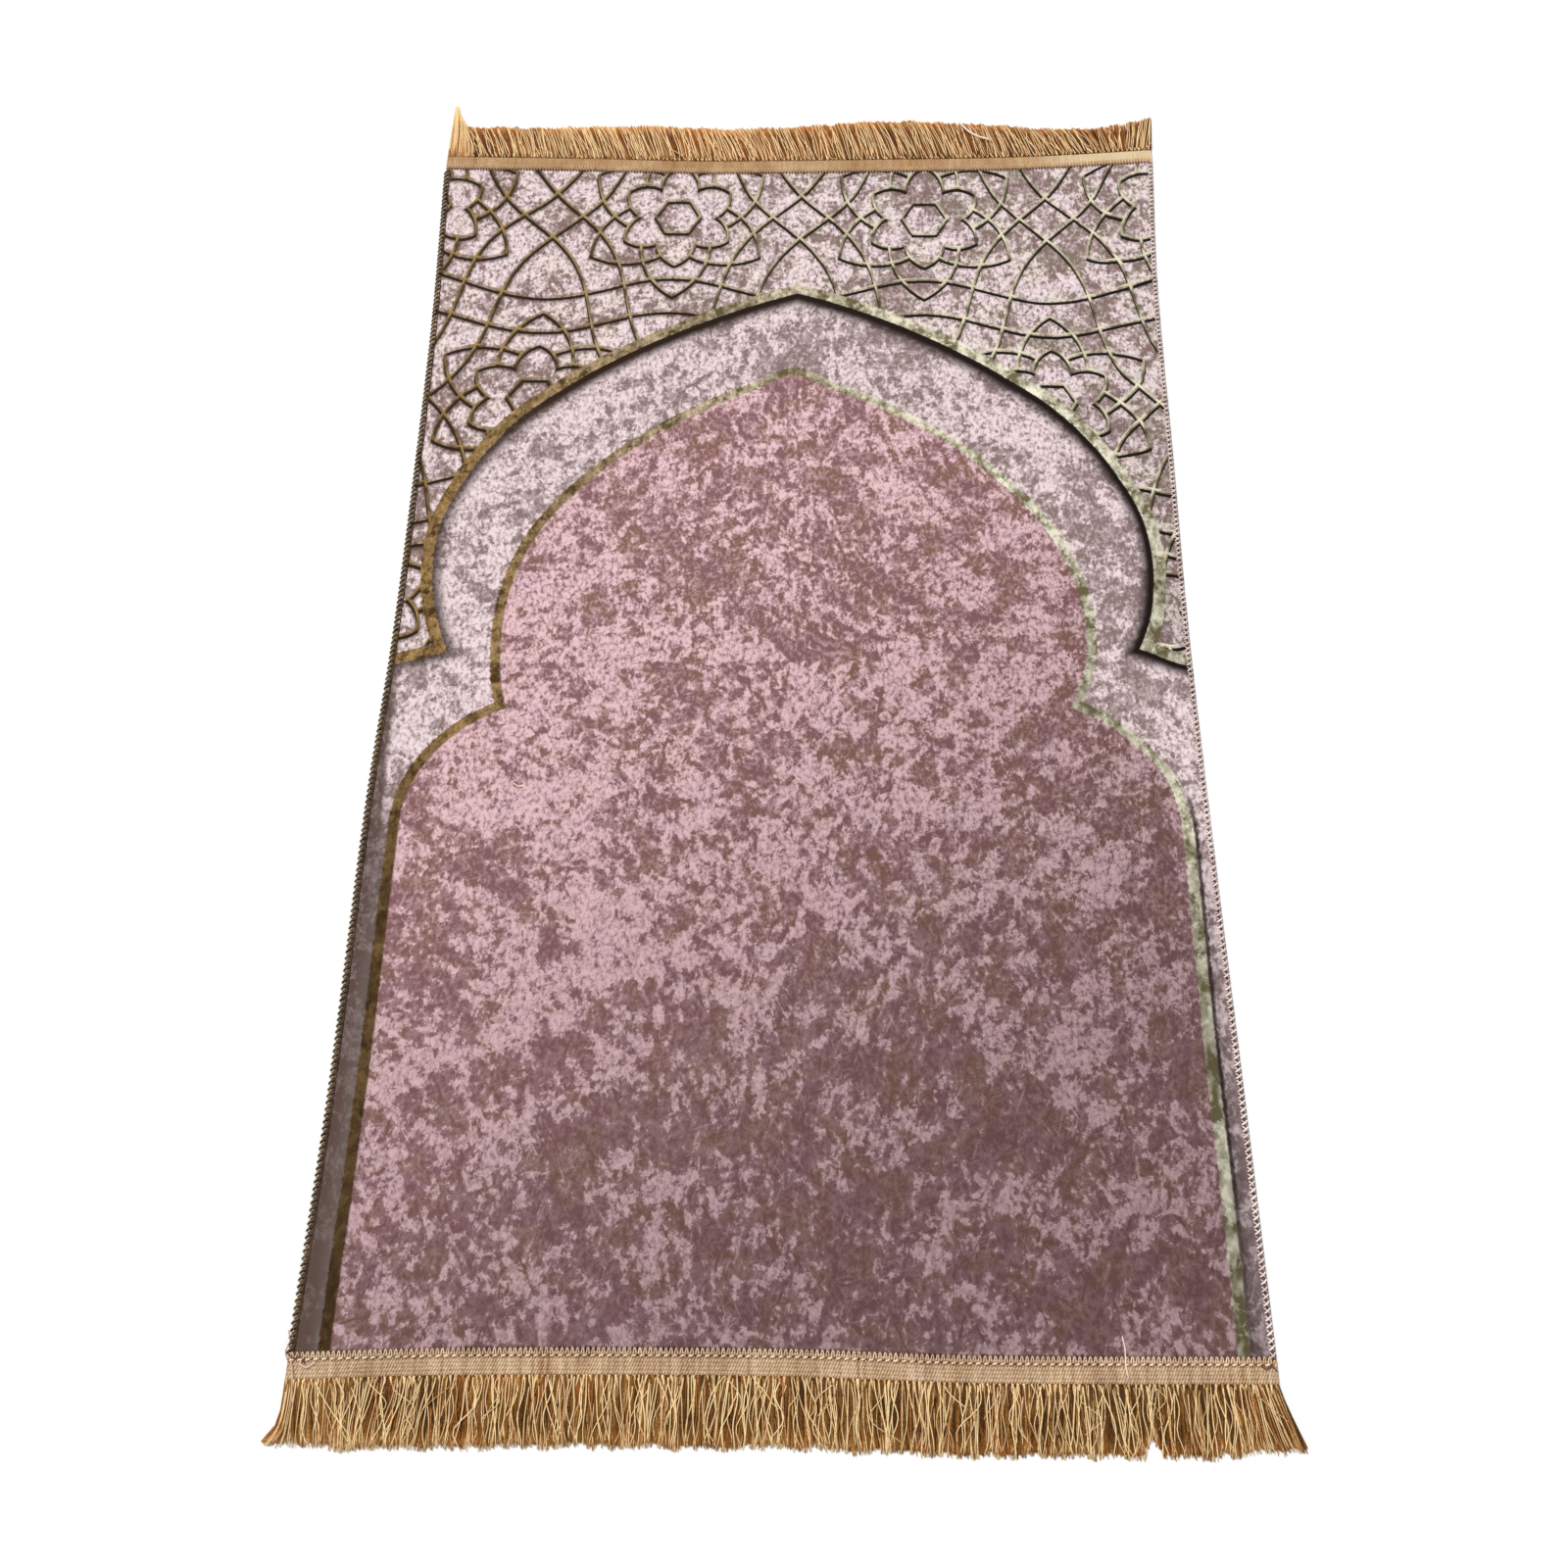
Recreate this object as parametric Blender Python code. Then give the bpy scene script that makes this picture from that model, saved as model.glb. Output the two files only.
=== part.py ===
"""A prayer rug of printed plush velvet, lying flat, with a gold fringe trim sewn to each end.

Metres, +Z up. X runs across the rug and Y along it, towards the end with the point of the arch.
The underside lies on z = 0, and the origin is under the middle of the rug's box.
"""

import bisect
import collections
import math
import random

import bmesh
import bpy
from mathutils import Matrix, Vector

# The cloth: its cut length, its plain height, and the grid that its face and back are made on.
LENGTH = 1.100
PILE_TOP = 0.0024
CELLS_ACROSS = 22
CELLS_ALONG = 34

# Long shallow swells of the face, as the turns of a wave in radians per metre, and how far
# inside the rim they fade in.
SwellWave = collections.namedtuple("SwellWave", ("per_x", "per_y", "phase", "height"))
SWELLS = (
    SwellWave(9.1, 5.3, 0.7, 0.00025),
    SwellWave(-4.1, 13.7, 2.0, 0.00025),
)
LEVEL_HALF_WIDTH = 0.340
LEVEL_HALF_LENGTH = 0.540
SWELL_FADE = 0.050

# Where the cloth's edges really run. The overlocked sides are drawn in at the waist, and each
# end is drawn in at its middle. A side's place is along Y and its reach is from the centre line.
# An end's place is across X and its reach is from the middle of the length.
EdgePoint = collections.namedtuple("EdgePoint", ("place", "reach"))
LEFT_SIDE = (
    EdgePoint(-0.550, 0.3500),
    EdgePoint(-0.370, 0.3457),
    EdgePoint(-0.120, 0.3460),
    EdgePoint(0.020, 0.3420),
    EdgePoint(0.200, 0.3420),
    EdgePoint(0.370, 0.3440),
    EdgePoint(0.550, 0.3510),
)
RIGHT_SIDE = (
    EdgePoint(-0.550, 0.3500),
    EdgePoint(-0.370, 0.3465),
    EdgePoint(-0.130, 0.3415),
    EdgePoint(0.040, 0.3395),
    EdgePoint(0.200, 0.3412),
    EdgePoint(0.400, 0.3428),
    EdgePoint(0.550, 0.3500),
)
CORNER_X = 0.352
NEAR_END = (
    EdgePoint(-CORNER_X, 0.5500),
    EdgePoint(-0.220, 0.5464),
    EdgePoint(0.000, 0.5462),
    EdgePoint(0.140, 0.5500),
    EdgePoint(CORNER_X, 0.5500),
)
FAR_END = (
    EdgePoint(-CORNER_X, 0.5500),
    EdgePoint(-0.200, 0.5450),
    EdgePoint(-0.090, 0.5405),
    EdgePoint(0.080, 0.5405),
    EdgePoint(0.220, 0.5420),
    EdgePoint(CORNER_X, 0.5495),
)

# The fringe trim: a woven heading tape, and the locks that hang from its outer edge. The tape's
# profile runs outwards, as a share of its width and the height there.
SEAM_GAP = 0.0003
TAPE_WIDTH = 0.0175
LOCK_ROOT_TOP = 0.0017
TapeRow = collections.namedtuple("TapeRow", ("share", "height"))
TAPE_PROFILE = (
    TapeRow(0.00, 0.0021),
    TapeRow(0.30, 0.0024),
    TapeRow(0.65, 0.0021),
    TapeRow(1.00, LOCK_ROOT_TOP),
)

# One lock: how much of its pitch it fills at the root, and its height and width at the tip.
LOCKS = 130
LOCK_RUNS = 4
LOCK_SHARE = 0.66
LOCK_TIP_TOP = 0.0010
LOCK_TIP_SHARE = 0.55
LOCK_BOW = 0.0003
LENGTH_SPREAD = 0.0016
CORNER_REACH = 0.060
SWEEP_POWER = 1.4

# The near locks hang straight, splay at both corners and have one short notch.
NEAR_LOCK = 0.0460
NEAR_SPLAY_LEFT = 0.0125
NEAR_SPLAY_RIGHT = 0.0165
NEAR_CORNER_TRIM = 0.004
NEAR_SWAY = 0.0016
NEAR_SWAY_TURN = 31.0
NOTCH_PLACE = 0.2585
NOTCH_HALF = 0.0085
NOTCH_DEPTH = 0.0090

# The far locks all lean left, and their tips follow a line of their own. A longer tuft stands at
# the left corner.
FAR_TIPS = (
    EdgePoint(-CORNER_X, 0.6080),
    EdgePoint(-0.250, 0.6040),
    EdgePoint(-0.150, 0.6060),
    EdgePoint(-0.090, 0.6005),
    EdgePoint(0.000, 0.6020),
    EdgePoint(0.080, 0.6080),
    EdgePoint(0.150, 0.6055),
    EdgePoint(0.275, 0.5950),
    EdgePoint(CORNER_X, 0.6080),
)
FAR_LEAN = -0.0130
FAR_CORNER_TURN = 1.3
TUFT_PLACE = -0.3475
TUFT_HALF = 0.0110
TUFT_RISE = 0.0190


def clear_scene():
    for thing in list(bpy.data.objects):
        bpy.data.objects.remove(thing, do_unlink=True)


def curve_at(table, place):
    """The reach at this place of a smooth curve through a table's edge points."""
    places = [point.place for point in table]
    place = min(max(place, places[0]), places[-1])
    i = min(max(bisect.bisect_right(places, place) - 1, 0), len(table) - 2)

    def slope(k):
        low, high = table[max(k - 1, 0)], table[min(k + 1, len(table) - 1)]
        return (high.reach - low.reach) / (high.place - low.place)

    span = table[i + 1].place - table[i].place
    t = (place - table[i].place) / span
    rise = table[i + 1].reach - table[i].reach
    bend = span * slope(i) * t * (1 - t) ** 2 - span * slope(i + 1) * t * t * (1 - t)
    return table[i].reach + rise * t * t * (3 - 2 * t) + bend


def smooth_step(low, high, value):
    t = min(max((value - low) / (high - low), 0.0), 1.0)
    return t * t * (3 - 2 * t)


def cloth_point(across, along):
    """The place on the floor of a share of the cloth's width and of its length, each -1 to 1."""
    y_plain = along * LENGTH / 2
    left, right = curve_at(LEFT_SIDE, y_plain), curve_at(RIGHT_SIDE, y_plain)
    x = (right - left) / 2 + across * (right + left) / 2
    near, far = curve_at(NEAR_END, x), curve_at(FAR_END, x)
    y = (far - near) / 2 + along * (far + near) / 2
    return x, y


def pile_height(x, y):
    """The velvet's top: level but for the swells, and at its plain height along the rim."""
    swell = sum(wave.height * math.sin(wave.per_x * x + wave.per_y * y + wave.phase) for wave in SWELLS)
    inset = min(LEVEL_HALF_WIDTH - abs(x), LEVEL_HALF_LENGTH - abs(y))
    return PILE_TOP + swell * smooth_step(0.0, SWELL_FADE, inset)


def plain_material(name, colour, roughness):
    material = bpy.data.materials.new(name)
    material.use_nodes = True
    shader = material.node_tree.nodes["Principled BSDF"]
    shader.inputs["Base Color"].default_value = (*colour, 1.0)
    shader.inputs["Roughness"].default_value = roughness
    shader.inputs["Metallic"].default_value = 0.0
    material.diffuse_color = (*colour, 1.0)
    return material


def add_object(name, shape, material):
    """The shape as an object of this material, with its faces turned out."""
    bmesh.ops.recalc_face_normals(shape, faces=shape.faces)
    mesh = bpy.data.meshes.new(name)
    shape.to_mesh(mesh)
    shape.free()
    mesh.materials.append(material)
    thing = bpy.data.objects.new(name, mesh)
    bpy.context.scene.collection.objects.link(thing)
    return thing


def build_panel(material):
    """The velvet as one sheet: a flat back, a gently uneven face, and the drawn-in outline."""
    shape = bmesh.new()
    back, face = [], []
    for j in range(CELLS_ALONG + 1):
        along = 2 * j / CELLS_ALONG - 1
        floor_row, top_row = [], []
        for i in range(CELLS_ACROSS + 1):
            x, y = cloth_point(2 * i / CELLS_ACROSS - 1, along)
            floor_row.append(shape.verts.new((x, y, 0.0)))
            top_row.append(shape.verts.new((x, y, pile_height(x, y))))
        back.append(floor_row)
        face.append(top_row)
    for rows in (back, face):
        for low, high in zip(rows, rows[1:]):
            for i in range(CELLS_ACROSS):
                shape.faces.new((low[i], low[i + 1], high[i + 1], high[i]))
    rim = [(0, i) for i in range(CELLS_ACROSS)]
    rim += [(j, CELLS_ACROSS) for j in range(CELLS_ALONG)]
    rim += [(CELLS_ALONG, i) for i in range(CELLS_ACROSS, 0, -1)]
    rim += [(j, 0) for j in range(CELLS_ALONG, 0, -1)]
    for (j, i), (k, m) in zip(rim, rim[1:] + rim[:1]):
        shape.faces.new((back[j][i], back[k][m], face[k][m], face[j][i]))
    return add_object("rug_panel", shape, material)


def near_tip(x, chance):
    """How far a near lock reaches out, and how far its tip stands to the side."""
    notch = smooth_step(NOTCH_HALF, 0.0, abs(x - NOTCH_PLACE))
    corner = smooth_step(CORNER_X - CORNER_REACH, CORNER_X, abs(x))
    splay = NEAR_SPLAY_RIGHT if x > 0 else -NEAR_SPLAY_LEFT
    out = NEAR_LOCK + chance * LENGTH_SPREAD - NOTCH_DEPTH * notch - NEAR_CORNER_TRIM * corner
    return out, splay * corner + NEAR_SWAY * math.sin(NEAR_SWAY_TURN * x)


def far_tip(x, chance):
    """The same for a far lock. The lean dies out in the tuft, and turns towards the right corner."""
    tuft = max(0.0, 1 - abs(x - TUFT_PLACE) / TUFT_HALF)
    right_corner = smooth_step(CORNER_X - CORNER_REACH, CORNER_X, x)
    lean = FAR_LEAN * (1 - tuft) * (1 - FAR_CORNER_TURN * right_corner)
    base = curve_at(FAR_END, x) + SEAM_GAP + TAPE_WIDTH
    out = curve_at(FAR_TIPS, x + lean) - base
    return out + chance * LENGTH_SPREAD + TUFT_RISE * tuft, lean


def lock_ring(shape, x, y, half_width, top):
    """One cross-section of a lock: two corners on the floor and a ridge above them."""
    return [
        shape.verts.new((x - half_width, y, 0.0)),
        shape.verts.new((x + half_width, y, 0.0)),
        shape.verts.new((x, y, top)),
    ]


def grow_lock(shape, root, x, base, outward, half_root, tip, bow):
    """One lock, run by run from its root face to its tip."""
    out, sideways = tip
    ring = root
    for run in range(1, LOCK_RUNS + 1):
        share = run / LOCK_RUNS
        lock_x = x + sideways * share**SWEEP_POWER + bow * math.sin(math.pi * share)
        half = half_root * (1 - (1 - LOCK_TIP_SHARE) * share)
        top = LOCK_ROOT_TOP + (LOCK_TIP_TOP - LOCK_ROOT_TOP) * share
        after = lock_ring(shape, lock_x, outward * (base + out * share), half, top)
        for a, b in ((0, 1), (1, 2), (2, 0)):
            shape.faces.new((ring[a], ring[b], after[b], after[a]))
        ring = after
    shape.faces.new(ring)


def build_fringe(name, end_table, outward, tip_of, material, seed):
    """One trim. The tape's outer edge has a small face for each lock, and the lock grows from it."""
    shape = bmesh.new()
    left = -curve_at(LEFT_SIDE, outward * LENGTH / 2)
    right = curve_at(RIGHT_SIDE, outward * LENGTH / 2)
    pitch = (right - left) / LOCKS
    half_root = pitch * LOCK_SHARE / 2

    def tape_point(x, inset, z):
        return shape.verts.new((x, outward * (curve_at(end_table, x) + SEAM_GAP + inset), z))

    # The tape's top, as rows along the rug's end.
    stations = [left] + [left + pitch * (i + 0.5) for i in range(LOCKS)] + [right]
    rows = [[tape_point(x, TAPE_WIDTH * row.share, row.height) for x in stations] for row in TAPE_PROFILE]
    for inner, outer in zip(rows, rows[1:]):
        for i in range(LOCKS + 1):
            shape.faces.new((inner[i], inner[i + 1], outer[i + 1], outer[i]))

    # Its inner wall and its two ends.
    inner_foot = [tape_point(x, 0.0, 0.0) for x in stations]
    left_foot = tape_point(left, TAPE_WIDTH, 0.0)
    right_foot = tape_point(right, TAPE_WIDTH, 0.0)
    for i in range(LOCKS + 1):
        shape.faces.new((inner_foot[i], inner_foot[i + 1], rows[0][i + 1], rows[0][i]))
    shape.faces.new([row[0] for row in rows] + [left_foot, inner_foot[0]])
    shape.faces.new([row[-1] for row in rows] + [right_foot, inner_foot[-1]])

    # Its outer wall, in which each lock's root is left open, and its underside.
    edge = rows[-1]
    roots = []
    for i, x in enumerate(stations[1:-1]):
        feet = [tape_point(x + side * half_root, TAPE_WIDTH, 0.0) for side in (-1, 1)]
        roots.append([feet[0], feet[1], edge[i + 1]])
    shape.faces.new((edge[0], edge[1], roots[0][0], left_foot))
    shape.faces.new((edge[-2], edge[-1], right_foot, roots[-1][1]))
    shape.faces.new((inner_foot[0], inner_foot[1], roots[0][0], left_foot))
    shape.faces.new((inner_foot[-2], inner_foot[-1], right_foot, roots[-1][1]))
    for i, (this, after) in enumerate(zip(roots, roots[1:])):
        shape.faces.new((this[1], after[0], after[2], this[2]))
        shape.faces.new((inner_foot[i + 1], inner_foot[i + 2], after[0], this[1]))
    for i, root in enumerate(roots):
        shape.faces.new((inner_foot[i + 1], root[1], root[0]))

    chance = random.Random(seed)
    for root, x in zip(roots, stations[1:-1]):
        base = curve_at(end_table, x) + SEAM_GAP + TAPE_WIDTH
        tip = tip_of(x, chance.uniform(-1.0, 1.0))
        bow = chance.uniform(-LOCK_BOW, LOCK_BOW)
        grow_lock(shape, root, x, base, outward, half_root, tip, bow)
    return add_object(name, shape, material)


def centre_on_box(things):
    """Moves every point so that the origin is under the middle of the rug's box."""
    points = [thing.matrix_world @ vertex.co for thing in things for vertex in thing.data.vertices]
    low = Vector([min(point[axis] for point in points) for axis in range(3)])
    high = Vector([max(point[axis] for point in points) for axis in range(3)])
    middle = (low + high) / 2
    for thing in things:
        thing.data.transform(Matrix.Translation((-middle.x, -middle.y, -low.z)))


def main():
    clear_scene()
    velvet = plain_material("printed plush velvet", (0.42, 0.27, 0.28), 0.85)
    rayon = plain_material("gold rayon fringe", (0.58, 0.38, 0.18), 0.55)
    things = [
        build_panel(velvet),
        build_fringe("fringe_near", NEAR_END, -1, near_tip, rayon, 11),
        build_fringe("fringe_far", FAR_END, 1, far_tip, rayon, 12),
    ]
    centre_on_box(things)


if __name__ == "__main__":
    main()
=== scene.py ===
"""The prayer rug's looks: crushed velvet with its print, the overlocked sides and the gold fringes.

Everything is in metres in the rug's own frame, with +Y towards the point of the arch. The print
and the patterns are worked out in millimetres inside the materials.
"""

import collections
import functools
import math

import bpy
import numpy as np
from bpy.props import FloatProperty, FloatVectorProperty, IntProperty, PointerProperty
from mathutils import Color, Matrix, Vector, noise


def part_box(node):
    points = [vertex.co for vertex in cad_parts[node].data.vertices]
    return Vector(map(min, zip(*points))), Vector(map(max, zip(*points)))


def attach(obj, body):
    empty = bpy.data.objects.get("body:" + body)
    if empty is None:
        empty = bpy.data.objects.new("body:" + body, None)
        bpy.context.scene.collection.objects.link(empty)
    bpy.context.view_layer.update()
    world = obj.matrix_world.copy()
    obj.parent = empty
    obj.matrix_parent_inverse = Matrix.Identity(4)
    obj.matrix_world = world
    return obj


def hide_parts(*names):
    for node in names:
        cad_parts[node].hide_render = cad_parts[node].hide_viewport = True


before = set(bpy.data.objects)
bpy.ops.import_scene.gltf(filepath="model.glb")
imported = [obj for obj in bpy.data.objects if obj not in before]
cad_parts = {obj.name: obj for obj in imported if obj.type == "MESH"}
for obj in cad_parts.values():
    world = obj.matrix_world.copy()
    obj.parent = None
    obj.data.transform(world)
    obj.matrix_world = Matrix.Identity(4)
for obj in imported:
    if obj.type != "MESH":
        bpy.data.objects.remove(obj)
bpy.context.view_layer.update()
CLOTH_LOW, CLOTH_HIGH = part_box("rug_panel")
# The print and the photograph's camera are laid out from the middle of the cloth as it was cut.
# One far corner is pulled 1 mm outwards, so that is half a millimetre off the middle of its box.
CLOTH_MIDDLE = (CLOTH_LOW + CLOTH_HIGH) / 2 + Vector((0.0005, 0.0002, 0.0))

bl_info = {
    "name": "Prayer Rug",
    "version": (1, 0, 0),
    "blender": (4, 5, 0),
    "location": "3D View > Sidebar > Rug",
    "description": "Lays a printed velvet prayer rug with overlocked sides and gold fringes",
    "category": "Object",
}

MM = 0.001


def linear(code):
    """A hex sRGB colour as linear red, green, blue and alpha."""
    parts = [int(code[i : i + 2], 16) / 255 for i in (1, 3, 5)]
    return (*(p / 12.92 if p <= 0.04045 else ((p + 0.055) / 1.055) ** 2.4 for p in parts), 1.0)


def colour_property(name, code, description):
    return FloatVectorProperty(
        name=name, description=description, default=linear(code)[:3], size=3, min=0, max=1, subtype="COLOR"
    )


def length_property(name, millimetres, description):
    return FloatProperty(
        name=name, description=description, default=millimetres * MM, min=0, unit="LENGTH", precision=5
    )


def count_property(name, count, description):
    return IntProperty(name=name, description=description, default=count, min=1)


def strength_property(name, strength, description):
    return FloatProperty(name=name, description=description, default=strength, min=0)


class RugPrintSettings(bpy.types.PropertyGroup):
    """The sizes of the print."""

    star_pitch: length_property("Star pitch", 240, "From one star's middle to the next in its row")
    star_line: length_property("Star line", 3.0, "Width of the gold lines between the stars")
    outer_band: length_property("Outer band", 10.5, "Width of the outer arch's gold band")
    inner_band: length_property("Inner band", 9.0, "Width of the inner arch's gold band")
    fleck: length_property("Fleck", 4.0, "Size of the crushed pile's smallest flecks")


class RugColourSettings(bpy.types.PropertyGroup):
    """The colours of the velvet and of its print."""

    field_light: colour_property("Field light", "#E6C0C5", "Light pile inside the inner arch")
    field_dark: colour_property("Field dark", "#845F54", "Dark pile inside the inner arch")
    niche_light: colour_property("Niche light", "#EBD6D8", "Light pile between the two arches")
    niche_dark: colour_property("Niche dark", "#86706F", "Dark pile between the two arches")
    ground_light: colour_property("Ground light", "#EFDBDF", "Light pile behind the stars")
    ground_dark: colour_property("Ground dark", "#846B66", "Dark pile behind the stars")
    gold_left: colour_property("Gold left", "#7A6634", "The printed gold at the left")
    gold_right: colour_property("Gold right", "#C8BC98", "The printed gold at the right")
    shadow: colour_property("Printed shadow", "#160A05", "The black shadow printed under the gold")


class RugTrimSettings(bpy.types.PropertyGroup):
    """The fringe trims, the seams and the overlocked sides."""

    under_threads: count_property("Under threads", 1050, "Threads of each fringe's lowest layer")
    body_threads: count_property("Body threads", 860, "Threads of each fringe's middle layer")
    top_threads: count_property("Top threads", 330, "Bright threads on top of each fringe")
    crossing_threads: count_property("Crossing threads", 45, "Threads that lie across the others")
    thread: length_property("Fringe thread", 0.95, "Thickness of a fringe thread")
    bundle_pitch: length_property("Bundle pitch", 4.3, "From one bundle of threads at the tape to the next")
    tape_rib: length_property("Tape rib", 2.6, "From one lengthwise rib of the tape to the next")
    tape_pick: length_property("Tape pick", 2.1, "From one cross thread of the tape to the next")
    loop_pitch: length_property("Loop pitch", 3.7, "From one seam loop to the next")
    knot_pitch: length_property("Knot pitch", 5.8, "From one bright seam stitch to the next")
    tick_pitch: length_property("Tick pitch", 2.9, "From one far seam stitch to the next")
    overlock_pitch: length_property("Overlock pitch", 4.9, "From one overlock stitch to the next")


class RugStageSettings(bpy.types.PropertyGroup):
    """The camera and the light."""

    camera_height: length_property("Camera height", 1110.4, "Height of the camera over the floor")
    key: strength_property("Key light", 2.3, "Strength of the soft light from above")
    sky: strength_property("Sky", 0.52, "Strength of the even light all round")


def settings(name):
    return getattr(bpy.context.scene, "rug_" + name)


# Materials.


def feed(node, inputs):
    """Fills a node's inputs. Each is a value, a colour, its hex code, or the field that feeds it."""
    for slot, value in dict(inputs).items():
        socket = node.inputs[slot]
        if isinstance(value, Field):
            node.id_data.links.new(value.socket, socket)
        elif isinstance(value, str):
            socket.default_value = linear(value)
        else:
            socket.default_value = (*value, 1.0) if isinstance(value, Color) else value


def add_node(tree, kind, inputs=(), output=0, **choices):
    """Adds one node with its settings and links, and gives the field that comes out of it."""
    made = tree.nodes.new(kind)
    for name, value in choices.items():
        setattr(made, name, value)
    feed(made, inputs)
    return Field(made.outputs[output])


class Field:
    """A number, place or colour that varies over a surface. Arithmetic on it adds to its nodes."""

    # How a mixing node takes what it mixes: its data type, its first slot for it and its output.
    MIXING = {"VALUE": ("FLOAT", 2, 0), "VECTOR": ("VECTOR", 4, 1), "RGBA": ("RGBA", 6, 2)}

    def __init__(self, socket):
        self.socket = socket
        self.tree = socket.id_data

    def through(self, kind, *others, output=0, **choices):
        """What comes out of a new node that takes this field and the others, in that order."""
        return add_node(self.tree, kind, enumerate((self, *others)), output, **choices)

    def worked(self, operation, *others, output=0):
        """One step of maths, on a place if this field is a place and otherwise on a number."""
        kind = "ShaderNodeVectorMath" if self.socket.type == "VECTOR" else "ShaderNodeMath"
        return self.through(kind, *others, output=output, operation=operation)

    __add__ = functools.partialmethod(worked, "ADD")
    __sub__ = functools.partialmethod(worked, "SUBTRACT")
    __mul__ = functools.partialmethod(worked, "MULTIPLY")
    __abs__ = functools.partialmethod(worked, "ABSOLUTE")
    least = functools.partialmethod(worked, "MINIMUM")
    most = functools.partialmethod(worked, "MAXIMUM")

    def reach(self, direction):
        """How far this place goes in a direction."""
        return self.worked("DOT_PRODUCT", direction, output=1)

    def outside(self, circle):
        """How far this place lies outside a circle, below zero inside it."""
        middle, radius = circle
        return self.worked("DISTANCE", (*middle, 0), output=1) - radius

    def rise(self, low, high):
        """0 below low, 1 above high and smooth between. With low above high it falls instead."""
        return self.through("ShaderNodeMapRange", low, high, interpolation_type="SMOOTHSTEP")

    def between(self, low, high):
        """This share of the way from one number, place or colour to another."""
        data_type, slot, output = self.MIXING[low.socket.type if isinstance(low, Field) else "RGBA"]
        inputs = {0: self, slot: low, slot + 1: high}
        return add_node(self.tree, "ShaderNodeMix", inputs, output, data_type=data_type)

    def across_and_along(self):
        return [self.through("ShaderNodeSeparateXYZ", output=axis) for axis in (0, 1)]

    def mottle(self, size, detail=2, roughness=0.5, distortion=0, stretch=(1, 1)):
        """Noise from 0 to 1, whose features are about this many millimetres across."""
        inputs = {
            "Vector": self * (1 / stretch[0], 1 / stretch[1], 1),
            "Scale": 1 / size,
            "Detail": detail,
            "Roughness": roughness,
            "Distortion": distortion,
        }
        return add_node(self.tree, "ShaderNodeTexNoise", inputs)


def new_material(name):
    """An empty material and its shader."""
    material = bpy.data.materials.new(name)
    material.use_nodes = True
    return material, material.node_tree.nodes["Principled BSDF"]


def millimetre_place(tree):
    """The place on the rug in millimetres from the middle of the cloth."""
    place = add_node(tree, "ShaderNodeTexCoord", output="Object")
    return (place - (CLOTH_MIDDLE.x, CLOTH_MIDDLE.y, 0)) * (1 / MM, 1 / MM, 1 / MM)


# The star lattice. Each size is in millimetres from a star's middle, for a 240 mm pitch.
STAR_TILT = math.radians(1.2)
STAR_STRETCH = 1.03
STAR_ORIGIN = (123.5, 481.5)
HEXAGON_APOTHEM = 19
PETAL_ARC = ((-11.5, 29.5), 30.3)
LOBE_ARC = ((-36.2, 34.5), 69.6)
WAVE_OFFSET = 84.6
NEXT_WAVE_OFFSET = 123.2
WAVE_HEIGHT = 12
CENTRE_CLEAR = 15


def star_lattice_group(pitch):
    """A node group for the star lattice: how far a place is from its nearest line, and from the next.

    The stars stand on a lattice of equal triangles. Any place is moved to the nearest star and
    then mirrored into one twelfth of it, where every line is an arc or one wave.
    """
    tree = bpy.data.node_groups.new("six-fold star lattice", "ShaderNodeTree")
    tree.interface.new_socket(name="Place", in_out="INPUT", socket_type="NodeSocketVector")
    tree.interface.new_socket(name="Distance", in_out="OUTPUT", socket_type="NodeSocketFloat")
    tree.interface.new_socket(name="Next distance", in_out="OUTPUT", socket_type="NodeSocketFloat")
    place = add_node(tree, "NodeGroupInput")

    row = pitch * math.sqrt(3) / 2
    low, high = (-pitch / 2, -row, -1), (pitch / 2, row, 1)
    first = place.worked("WRAP", high, low)
    second = (place - (pitch / 2, row, 0)).worked("WRAP", high, low)
    far_first, far_second = (star.worked("LENGTH", output=1) for star in (first, second))
    local = abs(far_first.worked("GREATER_THAN", far_second).between(first, second))

    mirror = (-math.sin(math.radians(60)), math.cos(math.radians(60)), 0)

    def stepped(distance):
        """A step of twice this distance, square to the mirror."""
        return (distance * 2).through("ShaderNodeVectorMath", mirror, operation="MULTIPLY")

    wedge = abs(local - stepped(local.reach(mirror).least(0)))
    other = wedge - stepped(wedge.reach(mirror))
    x, y = wedge.across_and_along()
    other_x, other_y = other.across_and_along()
    wave, other_wave = (
        along + (across * (2 * math.pi / pitch)).worked("COSINE") * WAVE_HEIGHT
        for across, along in ((x, y), (other_x, other_y))
    )
    petal = wedge.outside(PETAL_ARC)
    nearest = abs(y - HEXAGON_APOTHEM)
    following = nearest + 100
    for line in (
        abs(petal).most(y * -1 + CENTRE_CLEAR),
        abs(wedge.outside(LOBE_ARC)),
        abs(other.outside(LOBE_ARC)).most(petal * -1),
        abs(wave - WAVE_OFFSET),
        abs(other_wave - WAVE_OFFSET),
        abs(wave - NEXT_WAVE_OFFSET),
    ):
        following = following.least(nearest.most(line))
        nearest = nearest.least(line)
    feed(tree.nodes.new("NodeGroupOutput"), {0: nearest, 1: following})
    return tree


# The arches, in millimetres from the middle of the cloth, for the right half. Each is one round
# flank and one flatter shoulder that leaves it without a corner and meets its mirror at the point.
# The arcs were fitted to points measured along the photograph's arches.
OUTER_FLANK = ((107.4, 98.5), 212.7)
OUTER_SHOULDER = ((-206.7, -273.4), 700.0)
OUTER_FOOT = (301, 14)
OUTER_FOOT_SLOPE = 0.27
ARCH_MIDDLE = 2.4
INNER_FLANK = ((44.1, 26.8), 211.8)
INNER_SHOULDER = ((-122.1, -111.2), 427.7)
INNER_BELLY = ((198.0, -157.6), 126.1)


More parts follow.
